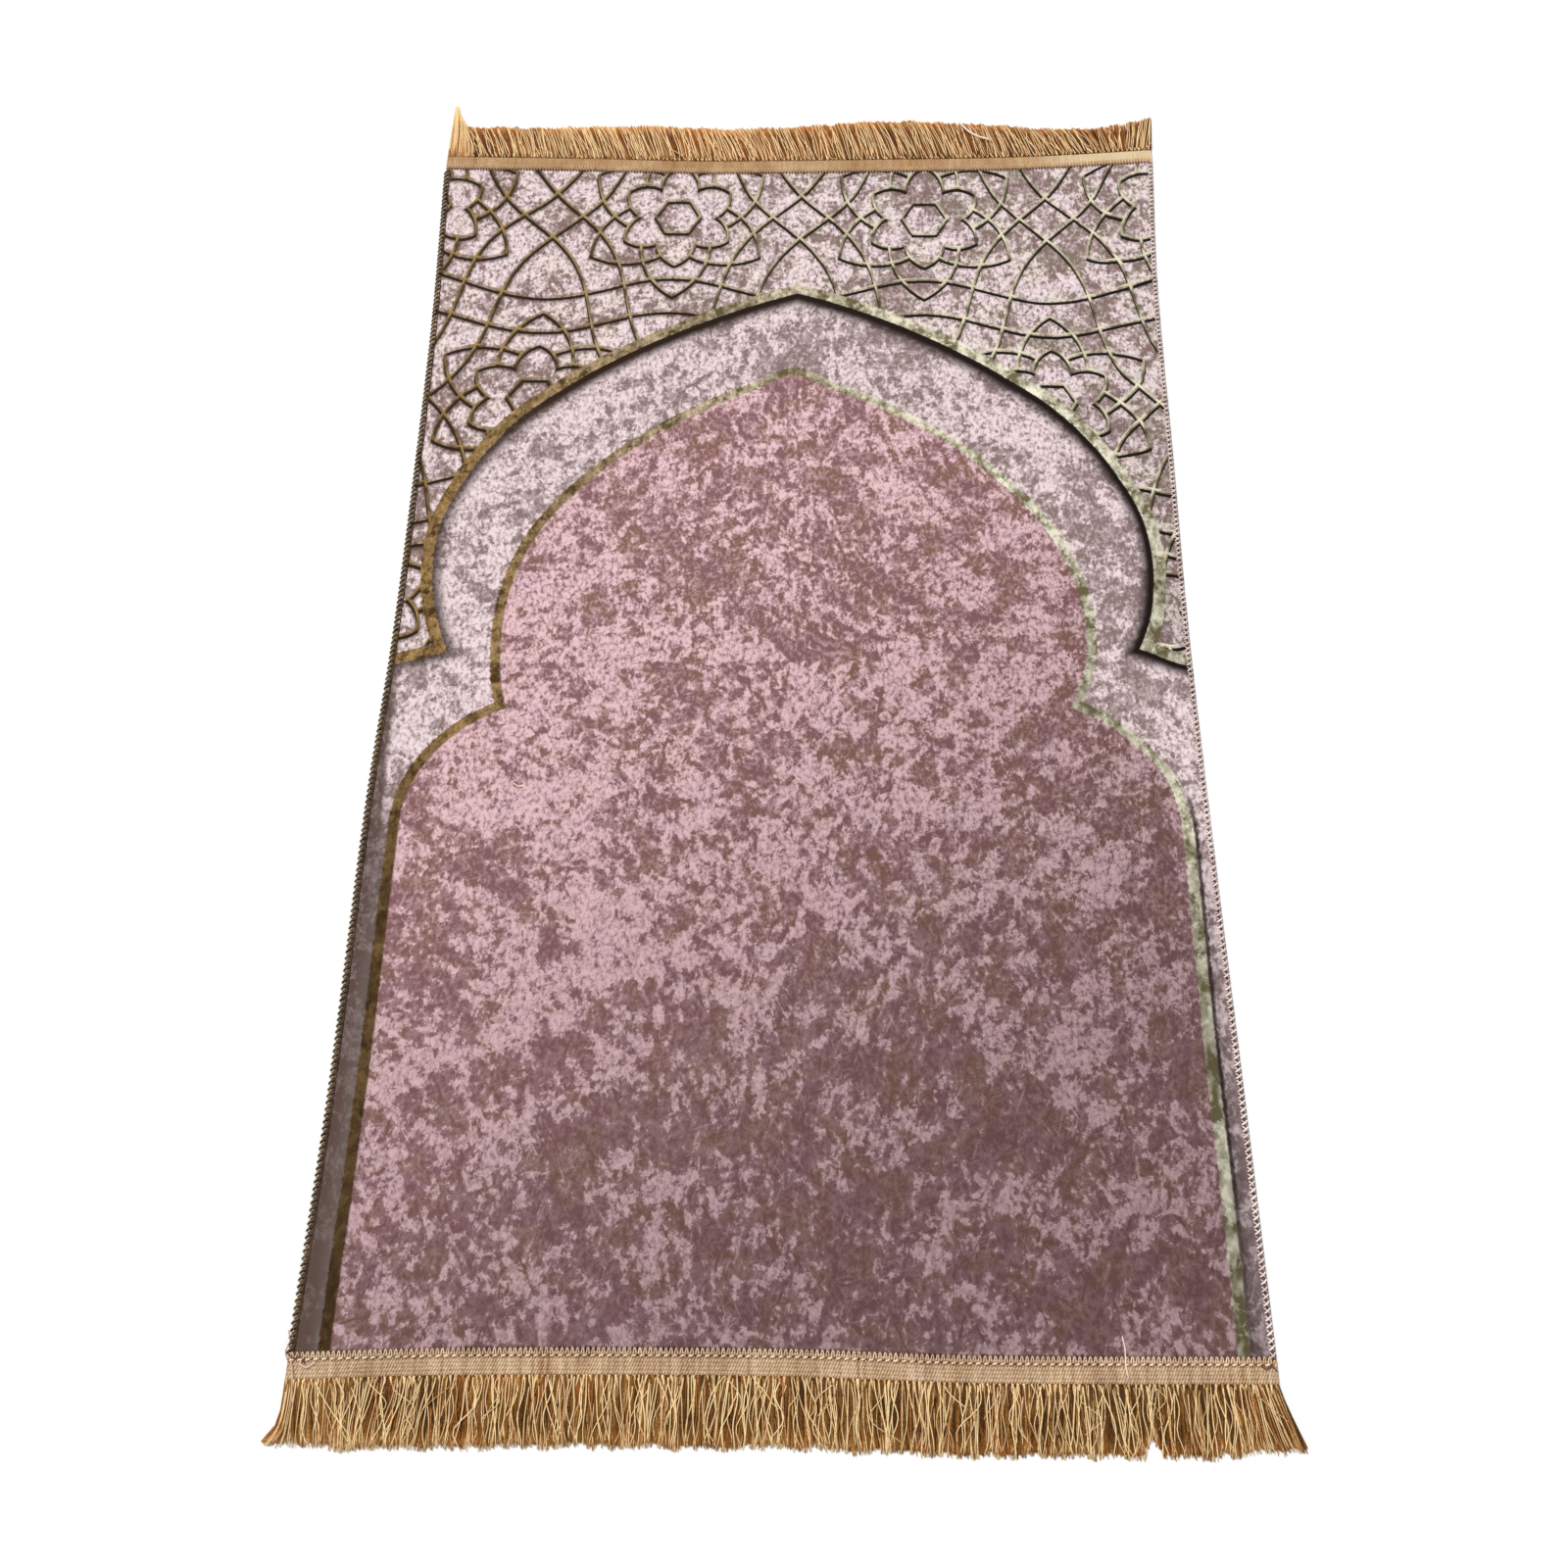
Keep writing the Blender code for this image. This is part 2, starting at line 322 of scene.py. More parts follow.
def arch_distance(place, flank, shoulder):
    """How far a place in the right half lies outside an arch, below zero inside it."""
    (flank_x, flank_y), _ = flank
    (shoulder_x, shoulder_y), _ = shoulder
    ahead = Vector((flank_x - shoulder_x, flank_y - shoulder_y)).normalized()
    side = (place - (flank_x, flank_y, 0)).reach((-ahead.y, ahead.x, 0))
    return side.worked("GREATER_THAN", 0).between(place.outside(flank), place.outside(shoulder))


def outer_arch(place):
    """How far a place lies inside the starry spandrels, below zero outside them."""
    foot_x, foot_y = OUTER_FOOT
    upright = Vector((OUTER_FOOT_SLOPE, 1, 0)).normalized()
    above_foot = (place - (foot_x, foot_y, 0)).reach(upright)
    return arch_distance(place, OUTER_FLANK, OUTER_SHOULDER).least(above_foot)


def inner_arch(place):
    """How far a place lies outside the inner field, below zero inside it."""
    middle, radius = INNER_BELLY
    belly = (place - (*middle, 0)).most((0, 0, 0)).worked("LENGTH", output=1) - radius
    return arch_distance(place, INNER_FLANK, INNER_SHOULDER).least(belly)


def printed_arches(x, y, ragged):
    """How far a place lies inside the spandrels, and how far it lies outside the inner field.

    The cloth is pulled a few millimetres off the print's true shape, as measured in the
    photograph. Each step here says where along or across the rug a pull starts, where it is whole,
    and how far it goes.
    """
    middle = y.rise(40, -100) * -3 + y.rise(-200, -560) * 1.5 + ARCH_MIDDLE
    outer_middle = middle - y.rise(-60, 260) * 6.4 + y.rise(290, 400) * 5.5
    lowered = x.rise(295, 330) * y.rise(80, 30) * 5
    half = abs(x - outer_middle).through("ShaderNodeCombineXYZ", y + lowered)
    pinched = y.rise(130, 190) * y.rise(275, 215) * 3.4 - y.rise(275, 310)
    outer = outer_arch(half) + pinched + ragged * 0.4

    splay = y.rise(-300, -560) * 3.5 - y.rise(-110, -160) * 1.6
    inner_middle = middle - y.rise(-30, 180) * 3.6 + y.rise(-110, -170) * 1.4 - y.rise(-400, -540)
    half = (abs(x - inner_middle) - splay).through("ShaderNodeCombineXYZ", y)
    near_point = abs(x + 1).rise(45, 5)
    drawn_in = y.rise(-20, 20) * 0.9 + y.rise(215, 250) * (near_point * -4.6 + 1.3)
    drawn_in = drawn_in + x.rise(205, 250) * y.rise(-110, -75) * y.rise(5, -30) * 3.8
    return outer, inner_arch(half) + drawn_in + ragged


def star_place(flat):
    """Where a place lies on the star lattice, which is turned, stretched and pulled on the cloth."""
    x, y = flat.across_and_along()
    sideways = (abs(x) - 225).most(0)
    lifted = sideways * sideways * 0.001 * y.rise(330, 520)
    lifted = lifted + x.rise(285, 320) * y.rise(470, 520) * 6
    lifted = lifted + x.rise(-330, -250) * y.rise(498, 545) * 6
    lifted = lifted + x.rise(275, 318) * y.rise(548, 480) * y.rise(385, 425) * 5
    pulled = x.rise(-225, -310) * -6.5 - x.rise(200, 250) * 2.5 + x.rise(296, 322) * 4.5
    turned = (flat - pulled.through("ShaderNodeCombineXYZ", lifted)).through(
        "ShaderNodeVectorRotate", (0, 0, 0), (0, 0, 1), STAR_TILT, rotation_type="Z_AXIS"
    )
    origin = Matrix.Rotation(STAR_TILT, 2) @ Vector(STAR_ORIGIN)
    return (turned - (*origin, 0)).worked("DIVIDE", (1, STAR_STRETCH, 1))


# The ways the velvet was twisted before it was crushed, in degrees: short creases run along them.
CREASE_TURNS = (-30, 18, 74)
STEEP_CREASE = 45


def crush_pattern(flat, lean, fleck):
    """The pile's tone from 0, leaning from the light, to 1, leaning to it; and its relief and flecks.

    Broad patches lean one way, torn edges and small clumps break them up, a fine grain runs
    through both, and along the sharpest creases a painted highlight runs with a painted shade beside it.
    """
    _, y = flat.across_and_along()
    upper = y.rise(-420, 60)
    broad = flat.mottle(58, distortion=0.5, stretch=(1.1, 0.9)) - 0.5
    torn = flat.mottle(16, detail=5, roughness=0.7, distortion=0.35, stretch=(0.92, 1.1)) - 0.5
    clump = flat.mottle(8, detail=3, roughness=0.66, distortion=0.3, stretch=(0.9, 1.12)) - 0.5
    level = broad * 2.1 + torn * (upper * -0.8 + 3.6) + clump * (upper * -1.2 + 2.4) + lean
    crisp = level.rise(0.37, 0.63)
    flecks = flat.mottle(fleck, roughness=0.7, distortion=0.3, stretch=(0.85, 1.2)) - 0.5
    blotch = flat.mottle(24, detail=3, roughness=0.6, distortion=0.5) - 0.5

    present = flat.mottle(45, detail=1).rise(0.4, 0.56)
    crease_highlight, crease_shade = 0, 0
    for degrees in CREASE_TURNS:
        turned = flat.through(
            "ShaderNodeVectorRotate", (0, 0, 0), (0, 0, 1), math.radians(degrees), rotation_type="Z_AXIS"
        )
        streak = turned.mottle(5, roughness=0.6, stretch=(1, 7))
        shown = present * (upper * 0.5 + 0.8 if degrees > STEEP_CREASE else upper * -0.4 + 1.2)
        crease_highlight = streak.rise(0.62, 0.72) * shown + crease_highlight
        crease_shade = streak.rise(0.38, 0.28) * shown + crease_shade

    small = flecks * (crisp * 1.7 + upper * 1.2 + 0.6) + clump * (upper * 0.9 + 0.5)
    # Painted highlight and shade of the creases, added to the pile's tone.
    crease_light_and_shade = crease_highlight * 0.3 - crease_shade * 0.34
    broken = blotch * (upper * 0.35 + 0.35) + (level - 0.5) * 0.14
    tone = crisp * (upper * -0.04 + 0.5) + small + broken + crease_light_and_shade + 0.19
    return tone, level, flecks


BLACK = "#000000"
# The printed black shadow lies this far below each gold line of the lattice, as if lit from above.
LINE_DROP = 3.4


def painted(colour, *layers):
    """A colour with others laid over it in order, each by the share that its mask gives."""
    for mask, laid in layers:
        colour = mask.between(colour, laid)
    return colour


def velvet_material(sizes, colours):
    """Polyester velvet, crushed while damp and then printed.

    The pile lies over in small patches, so one print looks pale where it leans to the light and
    dark where it leans from it, with hard ragged edges between. The sheen is the pile's own.
    """
    material, shader = new_material("crushed polyester velvet, transfer printed")
    tree = material.node_tree
    flat = millimetre_place(tree) * (1, 1, 0)
    x, y = flat.across_and_along()
    lean = add_node(tree, "ShaderNodeAttribute", output="Fac", attribute_name="lean")
    tone, level, flecks = crush_pattern(flat, lean, sizes.fleck / MM)
    ragged = flecks * 3
    outer, inner = printed_arches(x, y, ragged)
    lattice = star_lattice_group(sizes.star_pitch / MM)
    on_lattice = star_place(flat)

    def star_distance(across=0, along=0, output=0):
        moved = on_lattice + (across, along, 0)
        return moved.through("ShaderNodeGroup", output=output, node_tree=lattice)

    line = sizes.star_line / MM / 2
    gold_line = (star_distance() + ragged * 0.35).rise(line + 0.5, line - 0.6)
    under_line = (star_distance(0, LINE_DROP) + ragged * 0.15).rise(line + 0.4, line - 0.2)
    crossing = star_distance(output=1).rise(9, 2.5)
    soft_line = star_distance(-0.4, LINE_DROP + 0.8).rise(line + 3.4, line - 0.5)
    rim_light = star_distance(0.5, -0.8).rise(1.4, 0.1)
    glint = flat.mottle(26, detail=1).rise(0.4, 0.6)

    # The gold, worn where the pile is dark. It is browner at the left.
    rightward = x.rise(-330, 230)
    shadow_colour = rightward.between("#2C1A0C", colours.shadow)
    gold = rightward.between(colours.gold_left, colours.gold_right)
    gold_dark = rightward.between("#46300F", "#6E6646")
    gold_light = rightward.between("#A88656", "#F2ECD4")
    worn_gold = (tone * 0.8 + 0.3).between(gold_dark, gold)

    # Painted shade, where the pile turns from the light towards the near end and the right:
    # the velvet and its print are darkened there.
    painted_shade = (y - x * 0.7).rise(250, -650) * 0.52
    niche_painted_shade = y.rise(-60, -640) * 0.58
    right_half = x.rise(0, 10)
    # The gold bands' painted shade: less at the lower right, more on the right leg above it.
    band_painted_shade = niche_painted_shade.most(painted_shade * y.rise(-200, -20))
    band_painted_shade = band_painted_shade * (y.rise(-420, -520) * right_half * -0.2 + 1)
    band_painted_shade = band_painted_shade + right_half * y.rise(-120, -190) * y.rise(-400, -320) * 0.17
    gilt = flat.mottle(20, roughness=0.6, stretch=(0.8, 1.3)) - 0.5
    gilt = gilt * (rightward * 0.9 + 1.8) + tone * 0.6 + 0.18
    band_gold = painted(
        gilt.between(gold_dark, gold_light),
        (band_painted_shade, BLACK),
        (x.rise(0, -80) * y.rise(0, -180) * 0.58, "#2E1C08"),
    )

    # The pile's own colour drifts between browner and bluer, the more so where it is dark.
    browner = flat.mottle(34, detail=3, roughness=0.6).rise(0.42, 0.62)
    greyer = flat.mottle(22, detail=3, roughness=0.65).rise(0.5, 0.72)
    dark = browner.between("#835C5F", colours.field_dark)
    light = (greyer * 0.55).between(colours.field_light, "#D6BCC6")
    # The inner field's pile, darkened by the painted shade.
    field_colour = painted_shade.between(tone.between(dark, light), BLACK)
    warm_light = (browner * 0.35).between(colours.ground_light, "#EADBC2")
    cool_light = (greyer * (rightward * 0.5 + 0.15)).between(warm_light, "#DEDAE2")
    ground_dark = (browner * rightward * 0.6).between(colours.ground_dark, "#7C7262")

    # The ground, darkened by the painted shade, and the star lattice on it: a soft dark edge, the
    # printed shadow, the gold line and its printed lit rim.
    kept = (glint * 0.35 + crossing * 0.5 + 0.36 - rightward * 0.06).least(0.95)
    shine = (glint * 0.4 + crossing * 0.55).least(0.9)
    ground_colour = painted(
        (tone - 0.02).between(ground_dark, cool_light),
        (painted_shade, BLACK),
        (soft_line * (rightward * -0.5 + 0.7), "#3E2816"),
        (under_line, shadow_colour),
        (gold_line * kept, worn_gold),
        (rim_light * gold_line * shine, gold_light),
    )

    # Between the arches, darkened by the painted shade towards the near end: a plain dark strip at
    # the left, a dim one at the right, and the outer arch's printed shadow, deepest at its point and at
    # the right.
    left_strip = x.rise(-328, -339).between("#62544F", "#58453E")
    plain = x.rise(-320, -325) * y.rise(-90, -180) + x.rise(-330, -337)
    plain = plain.least(1) * y.rise(60, -60)
    outer_half = sizes.outer_band / MM / 2
    near_point = y.rise(140, 300)
    depth = rightward * -2 - near_point * 4 - 13.5
    core = near_point.most(rightward * 0.66) * -4.5
    strength = near_point.most(rightward) * 0.14 + 0.86
    niche_colour = painted(
        (tone + 0.02).between(colours.niche_dark, colours.niche_light),
        (niche_painted_shade, "#2A1517"),
        (plain * (tone * -0.15 + 1), left_strip),
        (x.rise(320, 330) * y.rise(-60, -320) * 0.1, shadow_colour),
        ((outer + outer_half + ragged * 0.4).rise(depth, core) * strength, shadow_colour),
    )

    # The whole print. A black line runs beside the inner arch's band at the lower right.
    inner_half = sizes.inner_band / MM / 2
    line_beside = abs(inner - inner_half - 1.4).rise(3.4, 0.6) * y.rise(-105, -150) * right_half
    line_beside = line_beside * (y.rise(-410, -500) * -0.35 + 0.9)
    fade_beside = (inner - inner_half + ragged).rise(12, 0) * y.rise(-130, -260) * right_half
    colour = painted(
        niche_colour,
        (outer.rise(-0.6, 0.6), ground_colour),
        (abs(outer).rise(outer_half + 0.5, outer_half - 0.6), band_gold),
        (line_beside.most(fade_beside * 0.42), shadow_colour),
        (inner.rise(0.6, -0.6), field_colour),
        (abs(inner).rise(inner_half + 0.8, inner_half - 0.9), band_gold),
    )

    grain = flat.mottle(1.1, detail=1, stretch=(1, 3))
    relief = level * 0.6 + flecks * 0.8 + grain * 0.15
    bump = {"Strength": 0.6, "Distance": 0.00045, "Height": relief}
    looks = {
        "Base Color": colour,
        "Normal": add_node(tree, "ShaderNodeBump", bump),
        "Roughness": 0.85,
        "Specular IOR Level": 0.12,
        "Sheen Weight": 0.12,
        "Sheen Roughness": 0.45,
        "Sheen Tint": "#F3D9DC",
    }
    feed(shader, looks)
    return material


def thread_material(name, dark, middle, warm, light):
    """Spun or reeled thread. Each strand's own tone runs from dark to light, some strands are
    warmer than others, and fine fibre breaks their shine, drawn coarser than it is so it shows."""
    material, shader = new_material(name)
    tree = material.node_tree
    place = millimetre_place(tree)
    tone = add_node(tree, "ShaderNodeAttribute", output="Fac", attribute_name="tone")
    fibre = place.mottle(1.5, roughness=0.6)
    tone = tone + (fibre - 0.5) * 0.55 + (place.mottle(35) - 0.5) * 0.55
    hue = (place.mottle(14, stretch=(1, 3)) - 0.5) * 1.2 + (place.mottle(60) - 0.5) * 1.6
    colour = (tone * 2).between(dark, hue.rise(-0.2, 0.25).between(middle, warm))
    bump = {"Strength": 0.5, "Distance": 0.0003, "Height": fibre}
    looks = {
        "Base Color": (tone * 2 - 1).between(colour, light),
        "Normal": add_node(tree, "ShaderNodeBump", bump),
        "Roughness": 0.6,
        "Specular IOR Level": 0.15,
        "Sheen Weight": 0.03,
        "Sheen Roughness": 0.4,
        "Sheen Tint": light,
    }
    feed(shader, looks)
    return material


# Shapes.


def wall_line(node, axis, side):
    """Where one wall of a CAD node stands: sorted rows of place along the wall and distance."""
    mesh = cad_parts[node].data
    found = {}
    for face in mesh.polygons:
        if side * face.normal[axis] > 0.7:
            for index in face.vertices:
                point = mesh.vertices[index].co
                found[round(point[1 - axis], 5)] = point[axis]
    return np.array(sorted(found.items()))


def cloth_lines():
    """The four edges of the cloth: left, right, near and far."""
    return [wall_line("rug_panel", axis, side) for axis in (0, 1) for side in (-1, 1)]


def along_line(line, place):
    return np.interp(place, line[:, 0], line[:, 1])


def smooth_step(low, high, value):
    t = np.clip((value - low) / (high - low), 0.0, 1.0)
    return t * t * (3 - 2 * t)


def placed(name, data):
    """An object in the scene, made of a mesh, a lamp or a lens."""
    made = bpy.data.objects.new(name, data)
    bpy.context.scene.collection.objects.link(made)
    return made


def make_piece(name, points, faces, material, slot, *nodes, **attributes):
    """A mesh object that rides on the rug, with its attributes and what it replaces; its slot is not used.
    """
    mesh = bpy.data.meshes.new(name)
    mesh.from_pydata(np.asarray(points).tolist(), [], faces)
    mesh.materials.append(material)
    for attribute, values in attributes.items():
        held = mesh.attributes.new(attribute, "FLOAT", "POINT")
        held.data.foreach_set("value", np.asarray(values, np.float32).ravel())
    mesh.shade_smooth()
    piece = placed(name, mesh)
    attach(piece, "root")
    if nodes:
        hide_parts(*nodes)


def laid_grid(x, y, z, turned=False):
    """Points and faces of a grid of places with walls and a foot on the floor, and its rim."""
    top = np.stack([x, y, z], axis=-1).reshape(-1, 3)
    index = np.arange(len(top)).reshape(x.shape)
    faces = np.stack([index[:-1, :-1], index[:-1, 1:], index[1:, 1:], index[1:, :-1]], axis=-1)
    faces = faces.reshape(-1, 4)
    rim = np.concatenate([index[0, :-1], index[:-1, -1], index[-1, :0:-1], index[:0:-1, 0]])
    if turned:
        faces, rim = faces[:, ::-1], rim[::-1]
    foot = len(top) + np.arange(len(rim))
    walls = np.stack([np.roll(rim, -1), rim, foot, np.roll(foot, -1)], axis=-1)
    points = np.concatenate([top, top[rim] * (1.0, 1.0, 0.0)])
    return points, faces.tolist() + walls.tolist() + [foot[::-1].tolist()], rim


def make_threads(name, parts, material, slot, *nodes, sides=4):
    """A piece made of closed tubes. Each part is paths, radii and tones, threads by stations."""
    paths, radii, tones = (np.concatenate(arrays) for arrays in zip(*parts))
    threads, stations = radii.shape
    paths[:, :, 2] = np.maximum(paths[:, :, 2], radii * 1.05)
    ahead = np.gradient(paths, axis=1)
    ahead /= np.linalg.norm(ahead, axis=2, keepdims=True)
    across = np.cross(ahead, (0.0, 0.0, 1.0))
    steep = np.linalg.norm(across, axis=2, keepdims=True) < 0.05
    across = np.where(steep, np.cross(ahead, (0.0, 1.0, 0.0)), across)
    across /= np.linalg.norm(across, axis=2, keepdims=True)
    up = np.cross(across, ahead)
    turn = 2 * np.pi * np.arange(sides)[:, None] / sides
    ring = across[:, :, None] * np.cos(turn) + up[:, :, None] * np.sin(turn)
    points = (paths[:, :, None] + radii[:, :, None, None] * ring).reshape(-1, 3)
    index = np.arange(threads * stations * sides).reshape(threads, stations, sides)
    here, after = index[:, :-1], index[:, 1:]
    walls = np.stack([here, np.roll(here, -1, 2), np.roll(after, -1, 2), after], axis=-1)
    faces = walls.reshape(-1, 4).tolist() + index[:, 0, ::-1].tolist() + index[:, -1].tolist()
    make_piece(name, points, faces, material, slot, *nodes, tone=np.repeat(tones.ravel(), sides))


# Where the pile leans towards the light or away from it, as soft patches in millimetres: x, y,
# width, height and how much of it leans. They were set one by one, many of them from how the average
# tone of an area differed between a render and the photograph.
LEAN_PATCHES = (
    (-210, 20, 100, 100, 0.1),
    (-240, -90, 100, 90, 0.1),
    (-150, -250, 80, 90, 0.2),
    (60, -60, 110, 80, 0.08),
    (-90, 55, 70, 60, -0.12),
    (-215, -165, 60, 60, -0.1),
    (-110, -360, 70, 50, -0.14),
    (-180, 340, 110, 90, 0.08),
    (20, -150, 90, 60, 0.08),
    (-60, 185, 105, 75, -0.24),
    (105, 125, 85, 70, -0.14),
    (0, 330, 60, 40, -0.3),
    (28, 420, 30, 40, -0.2),
    (-30, 420, 40, 40, 0.2),
    (190, 205, 50, 60, 0.16),
    (-190, 215, 45, 60, 0.14),
    (268, 60, 40, 90, -0.12),
    (325, -100, 60, 60, 0.14),
    (30, 25, 50, 50, -0.14),
    (215, -85, 90, 90, -0.14),
    (60, -290, 120, 70, -0.12),
    (110, -390, 120, 90, -0.12),
    (0, -470, 160, 80, -0.12),
    (-250, 490, 90, 70, 0.22),
    (140, 500, 60, 50, -0.12),
    (260, 490, 90, 70, -0.1),
    (-15, 420, 30, 40, 0.14),
    (-110, -360, 80, 60, -0.11),
    (-220, -460, 80, 70, -0.1),
    (0, -460, 90, 60, -0.05),
    (220, -420, 80, 90, -0.07),
    (-110, -260, 50, 50, 0.13),
    (-220, -160, 50, 50, -0.07),
    (-110, 120, 60, 60, -0.11),
    (0, 120, 50, 50, 0.07),
    (110, 120, 50, 50, -0.07),
    (110, -260, 50, 50, 0.06),
    (-110, 40, 50, 50, -0.08),
    (-220, -60, 50, 50, -0.07),
    (-110, -160, 50, 50, -0.07),
    (-110, -460, 50, 50, 0.06),
    (250, -525, 80, 40, -0.1),
)


def lean_of(x, y):
    """How much of the pile leans to the light at a place of the cloth, in millimetres."""
    lean = 0.50 + 0.00022 * y - 0.00012 * x
    for patch_x, patch_y, width, height, lift in LEAN_PATCHES:
        lean = lean + lift * np.exp(-(((x - patch_x) / width) ** 2) - ((y - patch_y) / height) ** 2)
    return lean


VELVET_CELLS = (238, 376)
RIM_ROLL = 0.005
RIM_SINK = 0.0004
SIDE_DROP = 0.45
END_DROP = 0.12
CRUSH_HEIGHT = 0.00035
# How many creases of the crushed face there are to a metre, large and small.
LARGE_CRUSH = 55
SMALL_CRUSH = 130


class RUG_OT_velvet(bpy.types.Operator):
    """Lay the printed velvet, with its rolled rims and its crushed face"""

    bl_idname = "rug.velvet"
    bl_label = "Velvet"

    def execute(self, context):
        cells_x, cells_y = VELVET_CELLS
        left, right, near, far = cloth_lines()
        across = np.linspace(-1, 1, cells_x + 1)[None, :]
        along = np.linspace(-1, 1, cells_y + 1)[:, None]
        y_plain = (CLOTH_HIGH.y + CLOTH_LOW.y) / 2 + along * (CLOTH_HIGH.y - CLOTH_LOW.y) / 2
        x_low, x_high = along_line(left, y_plain), along_line(right, y_plain)
        x = x_low + (across + 1) / 2 * (x_high - x_low)
        y_low, y_high = along_line(near, x), along_line(far, x)
        y = y_low + (along + 1) / 2 * (y_high - y_low)
        side_inset = np.minimum(x - x_low, x_high - x)
        end_inset = np.minimum(y - y_low, y_high - y)
        crush = np.zeros(x.shape)
        for place, (px, py) in enumerate(zip(x.flat, y.flat)):
            large = noise.noise(Vector((px * LARGE_CRUSH, py * LARGE_CRUSH, 0)))
            small = noise.noise(Vector((px * SMALL_CRUSH, py * SMALL_CRUSH, 7)))
            crush.flat[place] = large + 0.6 * small
        z = (CLOTH_HIGH.z - RIM_SINK) * (1 - SIDE_DROP * smooth_step(RIM_ROLL, 0, side_inset))
        z = z * (1 - END_DROP * smooth_step(RIM_ROLL / 2, 0, end_inset))
        z = z + CRUSH_HEIGHT * crush * smooth_step(0, 2 * RIM_ROLL, np.minimum(side_inset, end_inset))
        points, faces, _ = laid_grid(x, y, z)
        lean = lean_of((points[:, 0] - CLOTH_MIDDLE.x) / MM, (points[:, 1] - CLOTH_MIDDLE.y) / MM)
        material = velvet_material(settings("print"), settings("colours"))
        make_piece("velvet", points, faces, material, "velvet", "rug_panel", lean=lean)
        return {"FINISHED"}


# The two ends, and which way each points along the rug.
ENDS = {"near": -1, "far": 1}
TAPE_WIDTH = 0.0175
TAPE_THICKNESS = 0.0016
RIB_HEIGHT = 0.0004
PICK_HEIGHT = 0.00025
TAPE_CELLS = (1300, 24)
# How many cells of the tape one warp thread's own shade covers.
WARP_CELLS = 4
# How strongly each tape's tone carries the painted highlight and shade of its ribs and picks, and its
# random spread.
TAPE_WEAVE_SHADE_AND_SPREAD = {"near": 0.24, "far": 0.12}
TAPE_FOOT_TONE = 0.2
# A little more than one CAD lock of the fringe, so that each step holds a lock's tip.
TIP_STEP = 0.006
TAPE_LOOKS = {
    "near": ("rayon tape, narrow woven, blush", "#76502E", "#B29274", "#B2906C", "#E6CFAE"),
    "far": ("rayon tape, narrow woven, tan", "#7A5228", "#B0875A", "#B48C64", "#E0CBA4"),
}


def trim_lines(end):
    """The tape's inner edge and its outer edge, as rows of place across and place along."""
    outward = ENDS[end]
    inner = wall_line("fringe_" + end, 1, -outward)
    cloth_end = CLOTH_LOW.y if outward < 0 else CLOTH_HIGH.y
    inner = inner[np.abs(inner[:, 1]) < abs(cloth_end) + 0.002]
    return inner, inner + (0.0, outward * TAPE_WIDTH)


def tip_line(end):
    """How far out the CAD locks reach, as rows of place across and place along."""
    outward = ENDS[end]
    points = np.array([v.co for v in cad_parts["fringe_" + end].data.vertices])
    bins = np.round(points[:, 0] / TIP_STEP)
    rows = []
    for number in np.unique(bins):
        reach = (outward * points[bins == number, 1]).max()
        rows.append((number * TIP_STEP, outward * reach))
    return np.array(rows)


class RUG_OT_tapes(bpy.types.Operator):
    """Lay the two woven heading tapes that hold the fringe threads"""

    bl_idname = "rug.tapes"
    bl_label = "Heading tapes"

    def execute(self, context):
        trim = settings("trim")
        cells_x, cells_y = TAPE_CELLS
        for end, outward in ENDS.items():
            rng = np.random.default_rng(20 + outward)
            inner, outer = trim_lines(end)
            across = np.linspace(inner[0, 0], inner[-1, 0], cells_x + 1)[None, :]
            share = np.linspace(0, 1, cells_y + 1)[:, None]
            y = along_line(inner, across) * (1 - share) + along_line(outer, across) * share
            x = across + 0 * y
            depth = share * TAPE_WIDTH
            rib = np.abs(np.sin(np.pi * depth / trim.tape_rib))
            row = np.floor(depth / trim.tape_rib)
            pick = np.cos(2 * np.pi * (across + 0.35 * depth) / trim.tape_pick + 0.6 * row)
            z = TAPE_THICKNESS + RIB_HEIGHT * rib + PICK_HEIGHT * pick
            z = z * smooth_step(-0.16, 0.02, share) * smooth_step(1.03, 0.93, share)
            points, faces, rim = laid_grid(x, y, z, turned=outward < 0)
            weave_shade_and_spread = TAPE_WEAVE_SHADE_AND_SPREAD[end]
            # Painted highlight and shade of the weave: the tone rises on the ribs and picks and falls in
            # the grooves; the warp threads and each cell also differ at random.
            tone = 0.48 + weave_shade_and_spread * pick + 0.6 * weave_shade_and_spread * (2 * rib - 1)
            warp = rng.normal(0, 0.35 * weave_shade_and_spread, cells_x // WARP_CELLS + 1)
            tone = tone + warp[np.arange(cells_x + 1) // WARP_CELLS]
            tone = tone + rng.normal(0, 0.45 * weave_shade_and_spread, x.shape)
            # The far tape is lighter at the right, and a painted shade darkens it along its inner edge.
            if end == "far":
                tone = tone + 0.46 * smooth_step(0.2, 0.3, x) - 0.12 * smooth_step(0.3, 0.1, share)
            tone = np.concatenate([tone.ravel(), np.full(len(rim), TAPE_FOOT_TONE)])
            material = thread_material(*TAPE_LOOKS[end])
            make_piece("tape_" + end, points, faces, material, "fringe", "fringe_" + end, tone=tone)
        return {"FINISHED"}


# A fringe's layers of threads, lowest first. Widths are shares of one thread's thickness; height,
# drift, gather, curl and short are in metres. Threads gather on points this far apart with this
# pull, stop short of the tip line, hide a share of their ends, and are lit by so much at the tip.
ThreadLayer = collections.namedtuple(
    "ThreadLayer",
    "name width taper height tone tone_spread drift gather pull curl short short_spread hidden lit",
)
